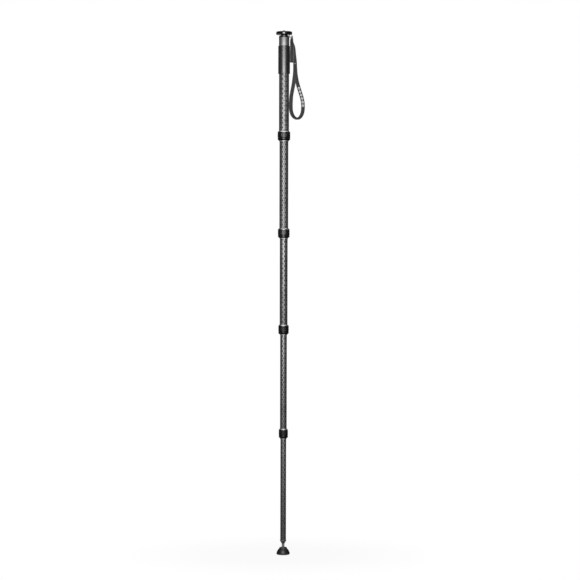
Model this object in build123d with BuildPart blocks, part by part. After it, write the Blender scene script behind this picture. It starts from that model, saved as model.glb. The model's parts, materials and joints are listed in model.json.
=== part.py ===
from build123d import *
import os
from math import acos, asin, cos, degrees, pi, radians, sin

os.makedirs("parts", exist_ok=True)

# Camera monopod of five tubes, standing fully extended. Millimetres, +Z up.
# The origin is the middle of the foot's sole. The front looks along -Y, and the
# wrist strap hangs on the +X side. Heights inside a lock count from its lower end.

# Fits
running_fit = 0.06  # radial, between pieces that turn or slide on each other
wiper_fit = 0.1  # radial, between a wiper ring and the tube that slides through it
free_gap = 0.3  # between moving faces that don't guide each other
cut_overrun = 1.0  # what a cutting shape stands past the face that it cuts

# Tubes, the widest and uppermost first
top_tube_radius = 16.5
tube_walls = [1.4, 1.1, 1.2, 1.0, 1.1]
tube_gaps = [0.6, 0.5, 0.7, 0.6]  # between a tube's bore and the next tube
bare_lengths = [188.9, 286.6, 283.6, 308.6, 333.0]  # tube that shows between fittings
tube_overlap = 45.0  # length of a drawn-out tube that stays above its lock's lower end

# Locks, the uppermost first
lock_height = 34.4
lock_overhangs = [4.3, 4.8, 4.3, 4.1]  # how far a lock stands out from the tube above it
socket_height = 15.0  # where the upper tube ends inside the lock
collar_rim_height = 0.5
collar_chamfer_height = 3.9
collar_top_lip = 0.6  # width of the collar's top edge
thread_wall = 1.0
nut_rim_height = 1.0
nut_rim_inset = 0.5  # how far the nut's rims lie inside the rubber
rubber_thickness = 1.3
rubber_edge = 0.6
rubber_groove_height = 9.6
rubber_groove_width = 1.2
rubber_groove_depth = 0.7
flute_pitch = 4.4
flute_radius = 0.8
flute_depth = 0.45
flute_inset = 1.6
wiper_height = 3.3
wiper_inset = 0.8
wiper_lip = 1.1
wiper_spigot_height = 1.2
nut_mouth = 1.2  # between the inner tube and the mouth of the nut's cone
collet_base_height = 5.0
collet_head_height = 2.2
collet_slots = 6
collet_slot_width = 0.8

# Guide shims at the top end of each inner tube
shim_height = 28.0
shim_arc = 170.0
shim_nub_radius = 1.5
shim_nub_height_share = 0.5

# Grip and upper end
grip_length = 91.4
grip_thickness = 2.9
grip_edge = 0.9
grip_lip_height = 2.6
grip_lip_depth = 0.35
collar_length = 27.8
collar_thickness = 0.55
collar_edge = 0.2
shoulder_height = 3.3
shoulder_edge = 1.4
cap_plug_depth = 10.0
cap_plug_edge = 0.6
neck_radius = 11.2
neck_height = 6.5
spigot_radius = 8.0
spigot_height = 4.4

# Camera platform
disc_radius = 26.45
disc_thickness = 7.4
disc_edge = 0.6
disc_groove_height = 4.6
disc_groove_width = 0.9
disc_groove_depth = 0.5
pad_radius = 25.6
pad_thickness = 2.6
pad_proud = 1.8  # how far the pad stands above the disc's rim
pad_edge = 0.4
rim_screw_height = 2.9
rim_screw_shank_radius = 1.5
rim_screw_head_radius = 2.3
rim_screw_head_length = 4.0
rim_screw_sink = 0.5
rim_screw_hex = 2.5
set_screw_circle = 17.5
set_screw_count = 3
set_screw_radius = 2.0
set_screw_drop = 2.6  # how far a set screw stands out below the disc
set_screw_hex = 2.0
set_screw_hex_depth = 2.0
hex_depth = 2.4

# Camera stud, thin end up
stud_thin_radius = 3.175
stud_thick_radius = 4.7625
stud_proud = 5.0  # above the pad
stud_collar_radius = 6.5
stud_collar_height = 1.5
stud_thick_length = 12.0
stud_end_chamfer = 0.5
stud_hex = 4.0

# Wrist-strap ring and its bent tab
ring_radius = 16.75
ring_thickness = 1.8
tab_clearance = 0.7  # between the collar and the tab's step
tab_thickness = 1.6
tab_drop = 1.3  # from the ring's underside to the tab's top
tab_width = 19.0
tab_slot_width = 4.0
tab_slot_length = 14.0
tab_bar_width = 3.0
tab_web = 0.9  # between the tab's step and its slot

# Wrist strap of flat webbing
webbing_width = 12.4
webbing_thickness = 1.5
webbing_fold_radius = 2.65  # to the middle of the webbing, round the tab's bar
webbing_layer_gap = 0.12
hanger_reach = 84.0  # from the tab's bar down to the hanger's sewn end
hanger_stagger = 6.4  # how far the hanger's two ends lie apart sideways
hanger_lean = 3.4  # how far its lower end lies outward of the tab's bar
strap_drop = 268.5  # from the tab's bar down to the lowest turn of the loop
strap_swing = 36.9  # from the tab's bar out to the loop's furthest turn
tack_length = 9.0
tack_height = 2.2
tack_thickness = 0.7
hanger_tack_reach_share = 0.92
loop_tack_drop_share = 0.325
loop_tack_swing_share = 0.258

# Foot and ball joint
foot_radius = 21.9
foot_sole_share = 0.86
foot_bulge_share = 0.965
foot_bulge_height_share = 0.07
foot_widest_share = 0.22
foot_dome_share = 0.885
foot_dome_height_share = 0.62
ball_radius = 7.0
ball_height = 13.0
ball_fit = 0.06
liner_thickness = 1.2
core_floor = 1.7
core_radius = 11.0
core_wall = 1.2
core_top = 20.0
foot_rubber_top_radius = 13.5
retainer_top = 24.5
retainer_top_radius = 11.7
retainer_flare_radius = 10.7
retainer_inset = 0.3
foot_tilt = 18.0  # degrees each way, about X and about Y
tilt_margin = 2.0  # degrees
sole_groove_radius = 11.5
sole_groove_width = 1.8
sole_groove_depth = 1.0
shank_radius = 4.35
shank_thread_radius = 3.0
shank_thread_length = 17.0
plug_tip_height = 36.5
plug_tip_radius = 4.6
plug_cone_height = 10.2
plug_flange_height = 1.8
plug_flange_overhang = 1.2
plug_length = 13.5
plug_edge = 0.6

# Heights of the fittings, worked out from the foot upward
tube_count = len(bare_lengths)
lock_count = len(lock_overhangs)
foot_plug_top = plug_tip_height + plug_cone_height + plug_flange_height
lock_bottoms = [0.0] * lock_count
fitting_top = foot_plug_top
for i in reversed(range(lock_count)):
    lock_bottoms[i] = fitting_top + bare_lengths[i + 1]
    fitting_top = lock_bottoms[i] + lock_height
grip_bottom = fitting_top + bare_lengths[0]
grip_top = grip_bottom + grip_length
shoulder_bottom = grip_top + collar_length
ring_floor = shoulder_bottom + shoulder_height
disc_bottom = ring_floor + neck_height
disc_top = disc_bottom + disc_thickness
pad_top = disc_top + pad_proud

# Tube radii, worked out from the top tube inward
tube_radii = [top_tube_radius]
for wall, gap in zip(tube_walls, tube_gaps):
    tube_radii.append(tube_radii[-1] - wall - gap)
bore_radii = [radius - wall for radius, wall in zip(tube_radii, tube_walls)]
lock_radii = [radius + overhang for radius, overhang in zip(tube_radii, lock_overhangs)]

# Ends of the tubes
tube_bottoms = [bottom + socket_height for bottom in lock_bottoms] + [foot_plug_top]
tube_tops = [shoulder_bottom] + [bottom + tube_overlap for bottom in lock_bottoms]


def outline(points):
    """A closed face through (radius, height) points in the upright plane."""
    with BuildSketch(Plane.XZ) as drawn:
        with BuildLine():
            Polyline(*points, close=True)
        make_face()
    return drawn.sketch


def keep(piece, name):
    """Labels a finished piece and writes it under its name."""
    piece.part.label = name
    export_step(piece.part, f"parts/{name}.step")


# Tubes. The inner ones have two holes near the top for the nubs of their shims.
for i in range(tube_count):
    inner_tube = i > 0
    shim_bottom = lock_bottoms[i - 1] + socket_height if inner_tube else 0
    nub_height = shim_bottom + shim_height * shim_nub_height_share
    with BuildPart(Plane.XY.offset(tube_bottoms[i])) as tube:
        length = tube_tops[i] - tube_bottoms[i]
        Cylinder(tube_radii[i], length, align=(Align.CENTER, Align.CENTER, Align.MIN))
        Cylinder(
            bore_radii[i],
            length,
            align=(Align.CENTER, Align.CENTER, Align.MIN),
            mode=Mode.SUBTRACT,
        )
        if inner_tube:
            with BuildSketch(Plane.YZ):
                with Locations((0, nub_height)):
                    Circle(shim_nub_radius + running_fit)
            extrude(amount=tube_radii[i] + cut_overrun, both=True, mode=Mode.SUBTRACT)
    keep(tube, f"tube_{i + 1}")

# Guide shims: two half shells on each inner tube, with a nub through the tube's wall
for i in range(1, tube_count):
    shim_bottom = lock_bottoms[i - 1] + socket_height
    nub_height = shim_bottom + shim_height * shim_nub_height_share
    shim_outer = bore_radii[i - 1] - running_fit
    with BuildPart() as tube_shims:
        with BuildSketch(Plane.XY.offset(shim_bottom)):
            Circle(shim_outer)
            Circle(tube_radii[i], mode=Mode.SUBTRACT)
            Rectangle(
                2 * shim_outer * sin(radians(90 - shim_arc / 2)),
                2 * shim_outer + cut_overrun,
                mode=Mode.SUBTRACT,
            )
        extrude(amount=shim_height)
        for side in (-1, 1):
            nub_plane = Plane(
                origin=(side * bore_radii[i], 0, nub_height), z_dir=(side, 0, 0)
            )
            with BuildSketch(nub_plane):
                Circle(shim_nub_radius)
            extrude(amount=shim_outer - bore_radii[i] - running_fit)
    keep(tube_shims, f"tube_shims_{i + 1}")

# Twist locks
for i in range(lock_count):
    base = lock_bottoms[i]
    upper = tube_radii[i]
    lower = tube_radii[i + 1]
    rim = lock_radii[i]
    thread = upper + thread_wall
    flange_base = lock_height - collar_chamfer_height - collar_rim_height
    nut_top = flange_base - free_gap
    nut_side = rim - rubber_thickness
    nut_rim = rim - nut_rim_inset
    mouth = lower + nut_mouth
    cone_top = socket_height - free_gap - collet_head_height

    # Collar bonded on the upper tube, with the bright chamfered flange and the thread
    with BuildPart() as lock_collar:
        revolve(
            outline(
                [
                    (upper, base + socket_height),
                    (thread, base + socket_height),
                    (thread, base + flange_base),
                    (rim, base + flange_base),
                    (rim, base + flange_base + collar_rim_height),
                    (upper + collar_top_lip, base + lock_height),
                    (upper, base + lock_height),
                ]
            ),
            axis=Axis.Z,
        )
    keep(lock_collar, f"lock_collar_{i + 1}")

    # Nut: thread above, cone that squeezes the collet below, rims that hold the rubber
    with BuildPart() as lock_nut:
        revolve(
            outline(
                [
                    (mouth, base + wiper_height),
                    (nut_rim, base + wiper_height),
                    (nut_rim, base + wiper_height + nut_rim_height),
                    (nut_side, base + wiper_height + nut_rim_height),
                    (nut_side, base + nut_top - nut_rim_height),
                    (nut_rim, base + nut_top - nut_rim_height),
                    (nut_rim, base + nut_top),
                    (thread + running_fit, base + nut_top),
                    (thread + running_fit, base + socket_height - free_gap),
                    (upper, base + socket_height - free_gap),
                    (upper, base + cone_top),
                    (mouth, base + collet_base_height),
                ]
            ),
            axis=Axis.Z,
        )
    keep(lock_nut, f"lock_nut_{i + 1}")

    # Rubber grip band: a groove round its waist and flutes along its upper part
    band_bottom = base + wiper_height + nut_rim_height
    band_top = base + nut_top - nut_rim_height
    groove = band_bottom + rubber_groove_height
    flute_bottom = groove + rubber_groove_width + flute_inset
    flute_length = band_top - flute_inset - flute_bottom
    flute_count = round(2 * pi * rim / flute_pitch)
    with BuildPart() as lock_grip:
        revolve(
            outline(
                [
                    (nut_side, band_bottom),
                    (rim - rubber_edge, band_bottom),
                    (rim, band_bottom + rubber_edge),
                    (rim, groove),
                    (rim - rubber_groove_depth, groove + rubber_groove_width / 2),
                    (rim, groove + rubber_groove_width),
                    (rim, band_top - rubber_edge),
                    (rim - rubber_edge, band_top),
                    (nut_side, band_top),
                ]
            ),
            axis=Axis.Z,
        )
        with BuildSketch(Plane.XY.offset(flute_bottom)):
            with PolarLocations(rim + flute_radius - flute_depth, flute_count):
                Circle(flute_radius)
        extrude(amount=flute_length, mode=Mode.SUBTRACT)
    keep(lock_grip, f"lock_grip_{i + 1}")

    # Pale wiper ring, pressed into the nut's mouth
    with BuildPart() as lock_wiper:
        revolve(
            outline(
                [
                    (lower + wiper_fit, base),
                    (lower + wiper_lip, base),
                    (rim - wiper_inset, base + wiper_height),
                    (mouth, base + wiper_height),
                    (mouth, base + wiper_height + wiper_spigot_height),
                    (lower + wiper_fit, base + wiper_height + wiper_spigot_height),
                ]
            ),
            axis=Axis.Z,
        )
    keep(lock_wiper, f"lock_wiper_{i + 1}")

    # Split tapered collet, which grips the inner tube when the nut is tightened
    collet_top = socket_height - free_gap
    with BuildPart() as lock_collet:
        revolve(
            outline(
                [
                    (lower + running_fit, base + collet_base_height),
                    (mouth - free_gap, base + collet_base_height),
                    (upper - free_gap, base + cone_top),
                    (upper - free_gap, base + collet_top),
                    (lower + running_fit, base + collet_top),
                ]
            ),
            axis=Axis.Z,
        )
        with BuildSketch(Plane.XY.offset(base + collet_base_height)):
            with PolarLocations(lower + nut_mouth, collet_slots):
                Rectangle(2 * nut_mouth, collet_slot_width)
        extrude(amount=cone_top - collet_base_height, mode=Mode.SUBTRACT)
        with BuildSketch(Plane.XY.offset(base + collet_base_height)):
            with Locations((upper, 0)):
                Rectangle(2 * (upper - lower) + nut_mouth, collet_slot_width)
        extrude(amount=socket_height, mode=Mode.SUBTRACT)
    keep(lock_collet, f"lock_collet_{i + 1}")

# Rubber grip sleeve, with a small lip at its lower end
grip_radius = top_tube_radius + grip_thickness
grip_lip_radius = grip_radius + grip_lip_depth
with BuildPart() as grip_sleeve:
    revolve(
        outline(
            [
                (top_tube_radius, grip_bottom),
                (grip_lip_radius - grip_lip_depth, grip_bottom),
                (grip_lip_radius, grip_bottom + grip_lip_depth),
                (grip_lip_radius, grip_bottom + grip_lip_height - grip_lip_depth),
                (grip_radius, grip_bottom + grip_lip_height),
                (grip_radius, grip_top),
                (top_tube_radius, grip_top),
            ]
        ),
        axis=Axis.Z,
    )
    fillet(grip_sleeve.edges().group_by(Axis.Z)[-1].sort_by(SortBy.RADIUS)[-1], grip_edge)
keep(grip_sleeve, "grip_sleeve")

# Satin aluminium collar on the tube, between the grip and the top cap
collar_radius = top_tube_radius + collar_thickness
with BuildPart() as top_collar:
    with BuildSketch(Plane.XY.offset(grip_top)):
        Circle(collar_radius)
        Circle(top_tube_radius, mode=Mode.SUBTRACT)
    extrude(amount=collar_length)
    chamfer(top_collar.edges().filter_by(GeomType.CIRCLE).group_by(SortBy.RADIUS)[-1], collar_edge)
keep(top_collar, "top_collar")

# Top cap: plug in the tube, shoulder, neck for the strap ring, spigot for the disc
stud_collar_bottom = pad_top - pad_thickness - stud_collar_height
stud_bottom = stud_collar_bottom - stud_thick_length
with BuildPart() as top_cap:
    with BuildSketch(Plane.XY.offset(shoulder_bottom)):
        Circle(collar_radius)
    extrude(amount=shoulder_height)
    fillet(top_cap.faces().sort_by(Axis.Z)[-1].edges(), shoulder_edge)
    with BuildSketch(Plane.XY.offset(shoulder_bottom)):
        Circle(bore_radii[0])
    extrude(amount=-cap_plug_depth)
    chamfer(top_cap.faces().sort_by(Axis.Z)[0].edges(), cap_plug_edge)
    with BuildSketch(Plane.XY.offset(ring_floor)):
        Circle(neck_radius)
    extrude(amount=neck_height)
    with BuildSketch(Plane.XY.offset(disc_bottom)):
        Circle(spigot_radius)
    extrude(amount=spigot_height)
    with BuildSketch(Plane.XY.offset(stud_bottom - cut_overrun)):
        Circle(stud_thick_radius + running_fit)
    extrude(amount=disc_bottom + spigot_height - stud_bottom + 2 * cut_overrun, mode=Mode.SUBTRACT)
keep(top_cap, "top_cap")

# Platform disc, with a recess for the pad and holes for the screws
rim_screw_z = disc_bottom + rim_screw_height
rim_screw_plane = Plane(origin=(0, -disc_radius, rim_screw_z), z_dir=(0, 1, 0))
rim_screw_length = disc_radius - spigot_radius
with BuildPart() as platform_disc:
    with BuildSketch(Plane.XY.offset(disc_bottom)):
        Circle(disc_radius)
    extrude(amount=disc_thickness)
    chamfer(platform_disc.edges(), disc_edge)
    with BuildSketch(Plane.XY.offset(disc_top)):
        Circle(pad_radius)
    extrude(amount=pad_proud - pad_thickness, mode=Mode.SUBTRACT)
    groove_z = disc_bottom + disc_groove_height
    revolve(
        outline(
            [
                (disc_radius - disc_groove_depth, groove_z),
                (disc_radius + disc_groove_depth, groove_z - disc_groove_width),
                (disc_radius + disc_groove_depth, groove_z + disc_groove_width),
            ]
        ),
        axis=Axis.Z,
        mode=Mode.SUBTRACT,
    )
    with BuildSketch(Plane.XY.offset(disc_bottom)):
        Circle(spigot_radius)
    extrude(amount=spigot_height, mode=Mode.SUBTRACT)
    with BuildSketch(Plane.XY.offset(disc_bottom)):
        Circle(stud_thick_radius + free_gap)
        with PolarLocations(set_screw_circle, set_screw_count):
            Circle(set_screw_radius)
    extrude(amount=disc_thickness, mode=Mode.SUBTRACT)
    with BuildSketch(Plane.XY.offset(disc_top)):
        Circle(stud_collar_radius + free_gap)
    extrude(amount=stud_collar_bottom - running_fit - disc_top, mode=Mode.SUBTRACT)
    with BuildSketch(rim_screw_plane):
        Circle(rim_screw_shank_radius)
    extrude(amount=rim_screw_length, mode=Mode.SUBTRACT)
    with BuildSketch(rim_screw_plane):
        Circle(rim_screw_head_radius)
    extrude(amount=rim_screw_sink + rim_screw_head_length, mode=Mode.SUBTRACT)
keep(platform_disc, "platform_disc")

# Soft pad on the disc, open round the stud and over the set screws
with BuildPart() as platform_pad:
    with BuildSketch(Plane.XY.offset(pad_top - pad_thickness)):
        Circle(pad_radius)
    extrude(amount=pad_thickness)
    chamfer(platform_pad.faces().sort_by(Axis.Z)[-1].edges(), pad_edge)
    with BuildSketch(Plane.XY.offset(pad_top)):
        Circle(stud_collar_radius + free_gap)
        with PolarLocations(set_screw_circle, set_screw_count):
            Circle(set_screw_radius)
    extrude(amount=-pad_thickness, mode=Mode.SUBTRACT)
keep(platform_pad, "platform_pad")

# Bright screw in the disc's front rim, which bears on the cap's spigot
with BuildPart() as platform_screw:
    with BuildSketch(rim_screw_plane.offset(rim_screw_sink)):
        Circle(rim_screw_head_radius)
    extrude(amount=rim_screw_head_length)
    with BuildSketch(rim_screw_plane.offset(rim_screw_sink)):
        Circle(rim_screw_shank_radius)
    extrude(amount=rim_screw_length - rim_screw_sink)
    with BuildSketch(rim_screw_plane.offset(rim_screw_sink)):
        RegularPolygon(rim_screw_hex / 2, 6, major_radius=False)
    extrude(amount=hex_depth, mode=Mode.SUBTRACT)
keep(platform_screw, "platform_screw")

# Three set screws, which come up through the disc to stop a camera from turning
with BuildPart() as set_screws:
    with BuildSketch(Plane.XY.offset(disc_bottom - set_screw_drop)):
        with PolarLocations(set_screw_circle, set_screw_count):
            Circle(set_screw_radius)
    extrude(amount=set_screw_drop + disc_thickness + pad_proud - pad_thickness)
    with BuildSketch(Plane.XY.offset(disc_bottom - set_screw_drop)):
        with PolarLocations(set_screw_circle, set_screw_count):
            RegularPolygon(set_screw_hex / 2, 6, major_radius=False)
    extrude(amount=set_screw_hex_depth, mode=Mode.SUBTRACT)
keep(set_screws, "set_screws")

# Camera stud: thin end up, collar, thick end in the cap, hex socket underneath
with BuildPart() as camera_stud:
    with BuildSketch(Plane.XY.offset(stud_bottom)):
        Circle(stud_thick_radius)
    extrude(amount=stud_thick_length)
    chamfer(camera_stud.faces().sort_by(Axis.Z)[0].edges(), stud_end_chamfer)
    with BuildSketch(Plane.XY.offset(stud_collar_bottom)):
        Circle(stud_collar_radius)
    extrude(amount=stud_collar_height)
    with BuildSketch(Plane.XY.offset(stud_collar_bottom + stud_collar_height)):
        Circle(stud_thin_radius)
    extrude(amount=pad_thickness + stud_proud)
    chamfer(camera_stud.faces().sort_by(Axis.Z)[-1].edges(), stud_end_chamfer)
    with BuildSketch(Plane.XY.offset(stud_bottom)):
        RegularPolygon(stud_hex / 2, 6, major_radius=False)
    extrude(amount=stud_hex, mode=Mode.SUBTRACT)
keep(camera_stud, "camera_stud")

# Strap ring: flat ring round the neck, with a tab that steps down past the shoulder
ring_bottom = ring_floor + running_fit
ring_top = ring_bottom + ring_thickness
step_inner = collar_radius + tab_clearance
step_outer = step_inner + tab_thickness
slot_inner = step_outer + tab_web
bar_inner = slot_inner + tab_slot_width
bar_outer = bar_inner + tab_bar_width
tab_top = ring_bottom - tab_drop
tab_bottom = tab_top - tab_thickness
bar_x = (bar_inner + bar_outer) / 2
bar_z = (tab_top + tab_bottom) / 2
with BuildPart() as strap_ring:
    with BuildSketch(Plane.XY.offset(ring_bottom)):
        Circle(ring_radius)
    extrude(amount=ring_thickness)
    extrude(
        outline(
            [
                (0, ring_bottom),
                (step_inner, ring_bottom),
                (step_inner, tab_bottom),
                (bar_outer, tab_bottom),
                (bar_outer, tab_top),
                (step_outer, tab_top),
                (step_outer, ring_top),
                (0, ring_top),
            ]
        ),
        amount=tab_width / 2,
        both=True,
    )
    with BuildSketch(Plane.XY.offset(ring_bottom)):
        Circle(neck_radius + running_fit)
    extrude(amount=ring_thickness, mode=Mode.SUBTRACT)
    with BuildSketch(Plane.XY.offset(tab_bottom)):
        with Locations(((slot_inner + bar_inner) / 2, 0)):
            Rectangle(tab_slot_width, tab_slot_length)
    extrude(amount=tab_thickness, mode=Mode.SUBTRACT)
keep(strap_ring, "strap_ring")


def band_planes(centres, widthways):
    """Planes square to a band's route, with x along the band's width."""
    planes = []
    for k, centre in enumerate(centres):
        ahead = centres[min(k + 1, len(centres) - 1)]
        behind = centres[max(k - 1, 0)]
        along = (ahead - behind).normalized()
        across = widthways[k] - along * widthways[k].dot(along)
        planes.append(Plane(origin=centre, x_dir=across, z_dir=along))
    return planes


# Webbing hanger: folded over the tab's bar, drawn together and turned a quarter just
# below it, and sewn round the ends of the loop. One end lies in front and one behind.
# Each row is a share of the reach, a share of the lean, a share of the fold's radius
# that the run lies from the middle, and degrees turned from facing the front.
hanger_shares = [
    (1.0, 1.0, 1.0, 0),
    (0.8, 1.0, 1.0, 0),
    (0.6, 1.0, 1.0, 0),
    (0.43, 1.0, 1.0, 0),
    (0.34, 0.97, 0.95, 0),
    (0.28, 0.86, 0.8, 7),
    (0.22, 0.66, 0.65, 24),
    (0.165, 0.4, 0.55, 45),
    (0.11, 0.15, 0.55, 66),
    (0.06, 0.02, 0.7, 83),
    (0.0, 0.0, 1.0, 90),
]
fold_turns = 6
hanger_centres = []
hanger_widthways = []


def hanger_point(reach_share, lean_share, apart_share, turn, side):
    """Middle of the webbing on the run in front (side 1) or behind (side -1)."""
    spread = radians(turn)
    flat = 1 - sin(spread)
    x = bar_x + hanger_lean * lean_share - side * hanger_stagger * flat / 2
    apart = side * webbing_fold_radius * apart_share
    z = bar_z - hanger_reach * reach_share
    return Vector(x + apart * sin(spread), -apart * cos(spread), z)


for reach_share, lean_share, apart_share, turn in hanger_shares:
    hanger_centres.append(hanger_point(reach_share, lean_share, apart_share, turn, 1))
    hanger_widthways.append(Vector(cos(radians(turn)), sin(radians(turn)), 0))
for step in range(1, fold_turns):
    bend = radians(180 * step / fold_turns)
    hanger_centres.append(
        Vector(
            bar_x + webbing_fold_radius * cos(bend),
            0,
            bar_z + webbing_fold_radius * sin(bend),
        )
    )
    hanger_widthways.append(Vector(0, 1, 0))
for reach_share, lean_share, apart_share, turn in reversed(hanger_shares):
    hanger_centres.append(hanger_point(reach_share, lean_share, apart_share, turn, -1))
    hanger_widthways.append(Vector(cos(radians(turn)), sin(radians(turn)), 0))

with BuildPart() as strap_hanger:
    for plane in band_planes(hanger_centres, hanger_widthways):
        with BuildSketch(plane):
            Rectangle(webbing_width, webbing_thickness)
    loft(ruled=True)
keep(strap_hanger, "strap_hanger")

# Webbing loop: from its end between the hanger's layers down the inner side, round
# the bottom edge-on, and up the outer side in front of where it started. Each row is
# a share of the swing, a share of the drop, a share of the layers' distance from the
# middle (behind is positive), and degrees turned from facing the front.
loop_shares = [
    (0.14, 0.15, 1.0, 0),
    (0.2, 0.22, 1.0, 0),
    (0.265, 0.3, 1.0, 0),
    (0.28, 0.37, 1.0, 0),
    (0.265, 0.44, 1.0, 0),
    (0.21, 0.51, 1.0, 0),
    (0.135, 0.585, 0.8, 0),
    (0.035, 0.66, 0.6, 0),
    (-0.045, 0.725, 0.4, 0),
    (-0.075, 0.79, 0.2, 4),
    (-0.068, 0.85, 0.0, 14),
    (-0.01, 0.91, 0.0, 32),
    (0.125, 0.96, 0.0, 50),
    (0.3, 0.99, 0.0, 62),
    (0.48, 1.0, 0.0, 66),
    (0.66, 0.988, 0.0, 62),
    (0.83, 0.958, 0.0, 50),
    (0.95, 0.915, 0.0, 34),
    (1.0, 0.86, 0.0, 16),
    (0.975, 0.8, -0.2, 4),
    (0.885, 0.74, -0.4, 0),
    (0.74, 0.675, -0.6, 0),
    (0.58, 0.605, -0.8, 0),
    (0.44, 0.53, -1.0, 0),
    (0.35, 0.455, -1.0, 0),
    (0.305, 0.38, -1.0, 0),
    (0.28, 0.305, -1.0, 0),
    (0.215, 0.225, -1.0, 0),
    (0.16, 0.15, -1.0, 0),
]
layer_offset = (webbing_thickness + webbing_layer_gap) / 2
loop_centres = [
    Vector(
        bar_x + strap_swing * swing_share,
        layer_offset * layer_share,
        bar_z - strap_drop * drop_share,
    )
    for swing_share, drop_share, layer_share, turn in loop_shares
]
loop_widthways = []
for k, (swing_share, drop_share, layer_share, turn) in enumerate(loop_shares):
    ahead = loop_centres[min(k + 1, len(loop_centres) - 1)]
    behind = loop_centres[max(k - 1, 0)]
    along = (ahead - behind).normalized()
    inward = Vector(-along.Z, 0, along.X)
    loop_widthways.append(inward * cos(radians(turn)) + Vector(0, 1, 0) * sin(radians(turn)))

with BuildPart() as strap_loop:
    for plane in band_planes(loop_centres, loop_widthways):
        with BuildSketch(plane):
            Rectangle(webbing_width, webbing_thickness)
    loft(ruled=True)
keep(strap_loop, "strap_loop")

# Bar tacks: short raised bars of thread across the webbing, before and behind. Two hold
# the hanger's ends on the loop, and two lie on the loop just below the hanger.
hanger_face = webbing_fold_radius + webbing_thickness / 2
loop_face = layer_offset + webbing_thickness / 2
hanger_end_x = bar_x + hanger_lean
hanger_tack_z = bar_z - hanger_reach * hanger_tack_reach_share
loop_tack_x = bar_x + strap_swing * loop_tack_swing_share
loop_tack_z = bar_z - strap_drop * loop_tack_drop_share
tack_places = [
    (hanger_end_x - hanger_stagger / 2, -hanger_face, hanger_tack_z, -1),
    (hanger_end_x + hanger_stagger / 2, hanger_face, hanger_tack_z, 1),
    (loop_tack_x, -loop_face, loop_tack_z, -1),
    (loop_tack_x, loop_face, loop_tack_z, 1),
]
with BuildPart() as strap_bar_tacks:
    for x, y, z, side in tack_places:
        with BuildSketch(Plane(origin=(x, y, z), x_dir=(1, 0, 0), z_dir=(0, side, 0))):
            SlotOverall(tack_length, tack_height)
        extrude(amount=tack_thickness)
keep(strap_bar_tacks, "strap_bar_tacks")

# End plug of the lowest tube: plug in the bore, flange, and a cone down to the ball stud
plug_cone_top = plug_tip_height + plug_cone_height
plug_flange_radius = tube_radii[-1] + plug_flange_overhang
with BuildPart() as foot_plug:
    revolve(
        outline(
            [
                (0, plug_tip_height),
                (plug_tip_radius, plug_tip_height),
                (plug_flange_radius - plug_edge, plug_cone_top),
                (plug_flange_radius, plug_cone_top),
                (plug_flange_radius, foot_plug_top),
                (bore_radii[-1], foot_plug_top),
                (bore_radii[-1], foot_plug_top + plug_length - plug_edge),
                (bore_radii[-1] - plug_edge, foot_plug_top + plug_length),
                (0, foot_plug_top + plug_length),
            ]
        ),
        axis=Axis.Z,
    )
    with BuildSketch(Plane.XY.offset(plug_tip_height)):
        Circle(shank_thread_radius + running_fit)
    extrude(amount=shank_thread_length + free_gap, mode=Mode.SUBTRACT)
keep(foot_plug, "foot_plug")

# Ball stud: thin shank in the plug, thick neck, ball
with BuildPart() as ball_stud:
    with BuildSketch(Plane.XY.offset(ball_height)):
        Circle(shank_radius)
    extrude(amount=plug_tip_height - running_fit - ball_height)
    with BuildSketch(Plane.XY.offset(plug_tip_height - running_fit)):
        Circle(shank_thread_radius)
    extrude(amount=shank_thread_length)
    with Locations((0, 0, ball_height)):
        Sphere(ball_radius)
keep(ball_stud, "ball_stud")


def cup_profile(inner, outer, opening):
    """Upright section of a spherical cup round the ball, open above by an angle from +Z."""
    with BuildSketch(Plane.XZ) as section:
        with BuildLine():
            outer_arc = CenterArc((0, ball_height), outer, -90, 180 - opening)
            inner_arc = CenterArc((0, ball_height), inner, -90, 180 - opening)
            Line(outer_arc @ 0, inner_arc @ 0)
            Line(outer_arc @ 1, inner_arc @ 1)
        make_face()
    return section.sketch


# Ball liner: a spherical cup of hard plastic round the ball, open above for the neck
liner_inner = ball_radius + ball_fit
liner_outer = liner_inner + liner_thickness
neck_angle = degrees(asin(shank_radius / ball_radius))
liner_opening = neck_angle + foot_tilt + tilt_margin
with BuildPart() as ball_liner:
    revolve(cup_profile(liner_inner, liner_outer, liner_opening), axis=Axis.Z)
keep(ball_liner, "ball_liner")

# Foot core: hard cup under the ball, with a wall that holds the retainer
cavity = liner_outer + ball_fit
core_bottom = ball_height - cavity - core_floor
retainer_side = core_radius - core_wall
with BuildPart() as foot_core:
    with BuildSketch(Plane.XY.offset(core_bottom)):
        Circle(core_radius)
    extrude(amount=core_top - core_bottom)
    with BuildSketch(Plane.XY.offset(ball_height)):
        Circle(retainer_side)
    extrude(amount=core_top - ball_height, mode=Mode.SUBTRACT)
    with Locations((0, 0, ball_height)):
        Sphere(cavity, mode=Mode.SUBTRACT)
keep(foot_core, "foot_core")

# Retainer ring over the ball liner, screwed into the core, flared for the tilting neck
tilt_both_ways = degrees(acos(cos(radians(foot_tilt)) ** 2))
mouth_angle = degrees(asin(shank_radius / cavity)) + tilt_both_ways + tilt_margin
with BuildPart() as foot_retainer:
    with BuildSketch(Plane.XZ):
        with BuildLine():
            seat = CenterArc((0, ball_height), cavity, 0, 90 - mouth_angle)
            Polyline(
                seat @ 1,
                (retainer_flare_radius, retainer_top),
                (retainer_top_radius, retainer_top),
                (foot_rubber_top_radius - retainer_inset, core_top),
                (retainer_side, core_top),
                (retainer_side, ball_height),
                seat @ 0,
            )
        make_face()
    revolve(axis=Axis.Z)
keep(foot_retainer, "foot_retainer")

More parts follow.
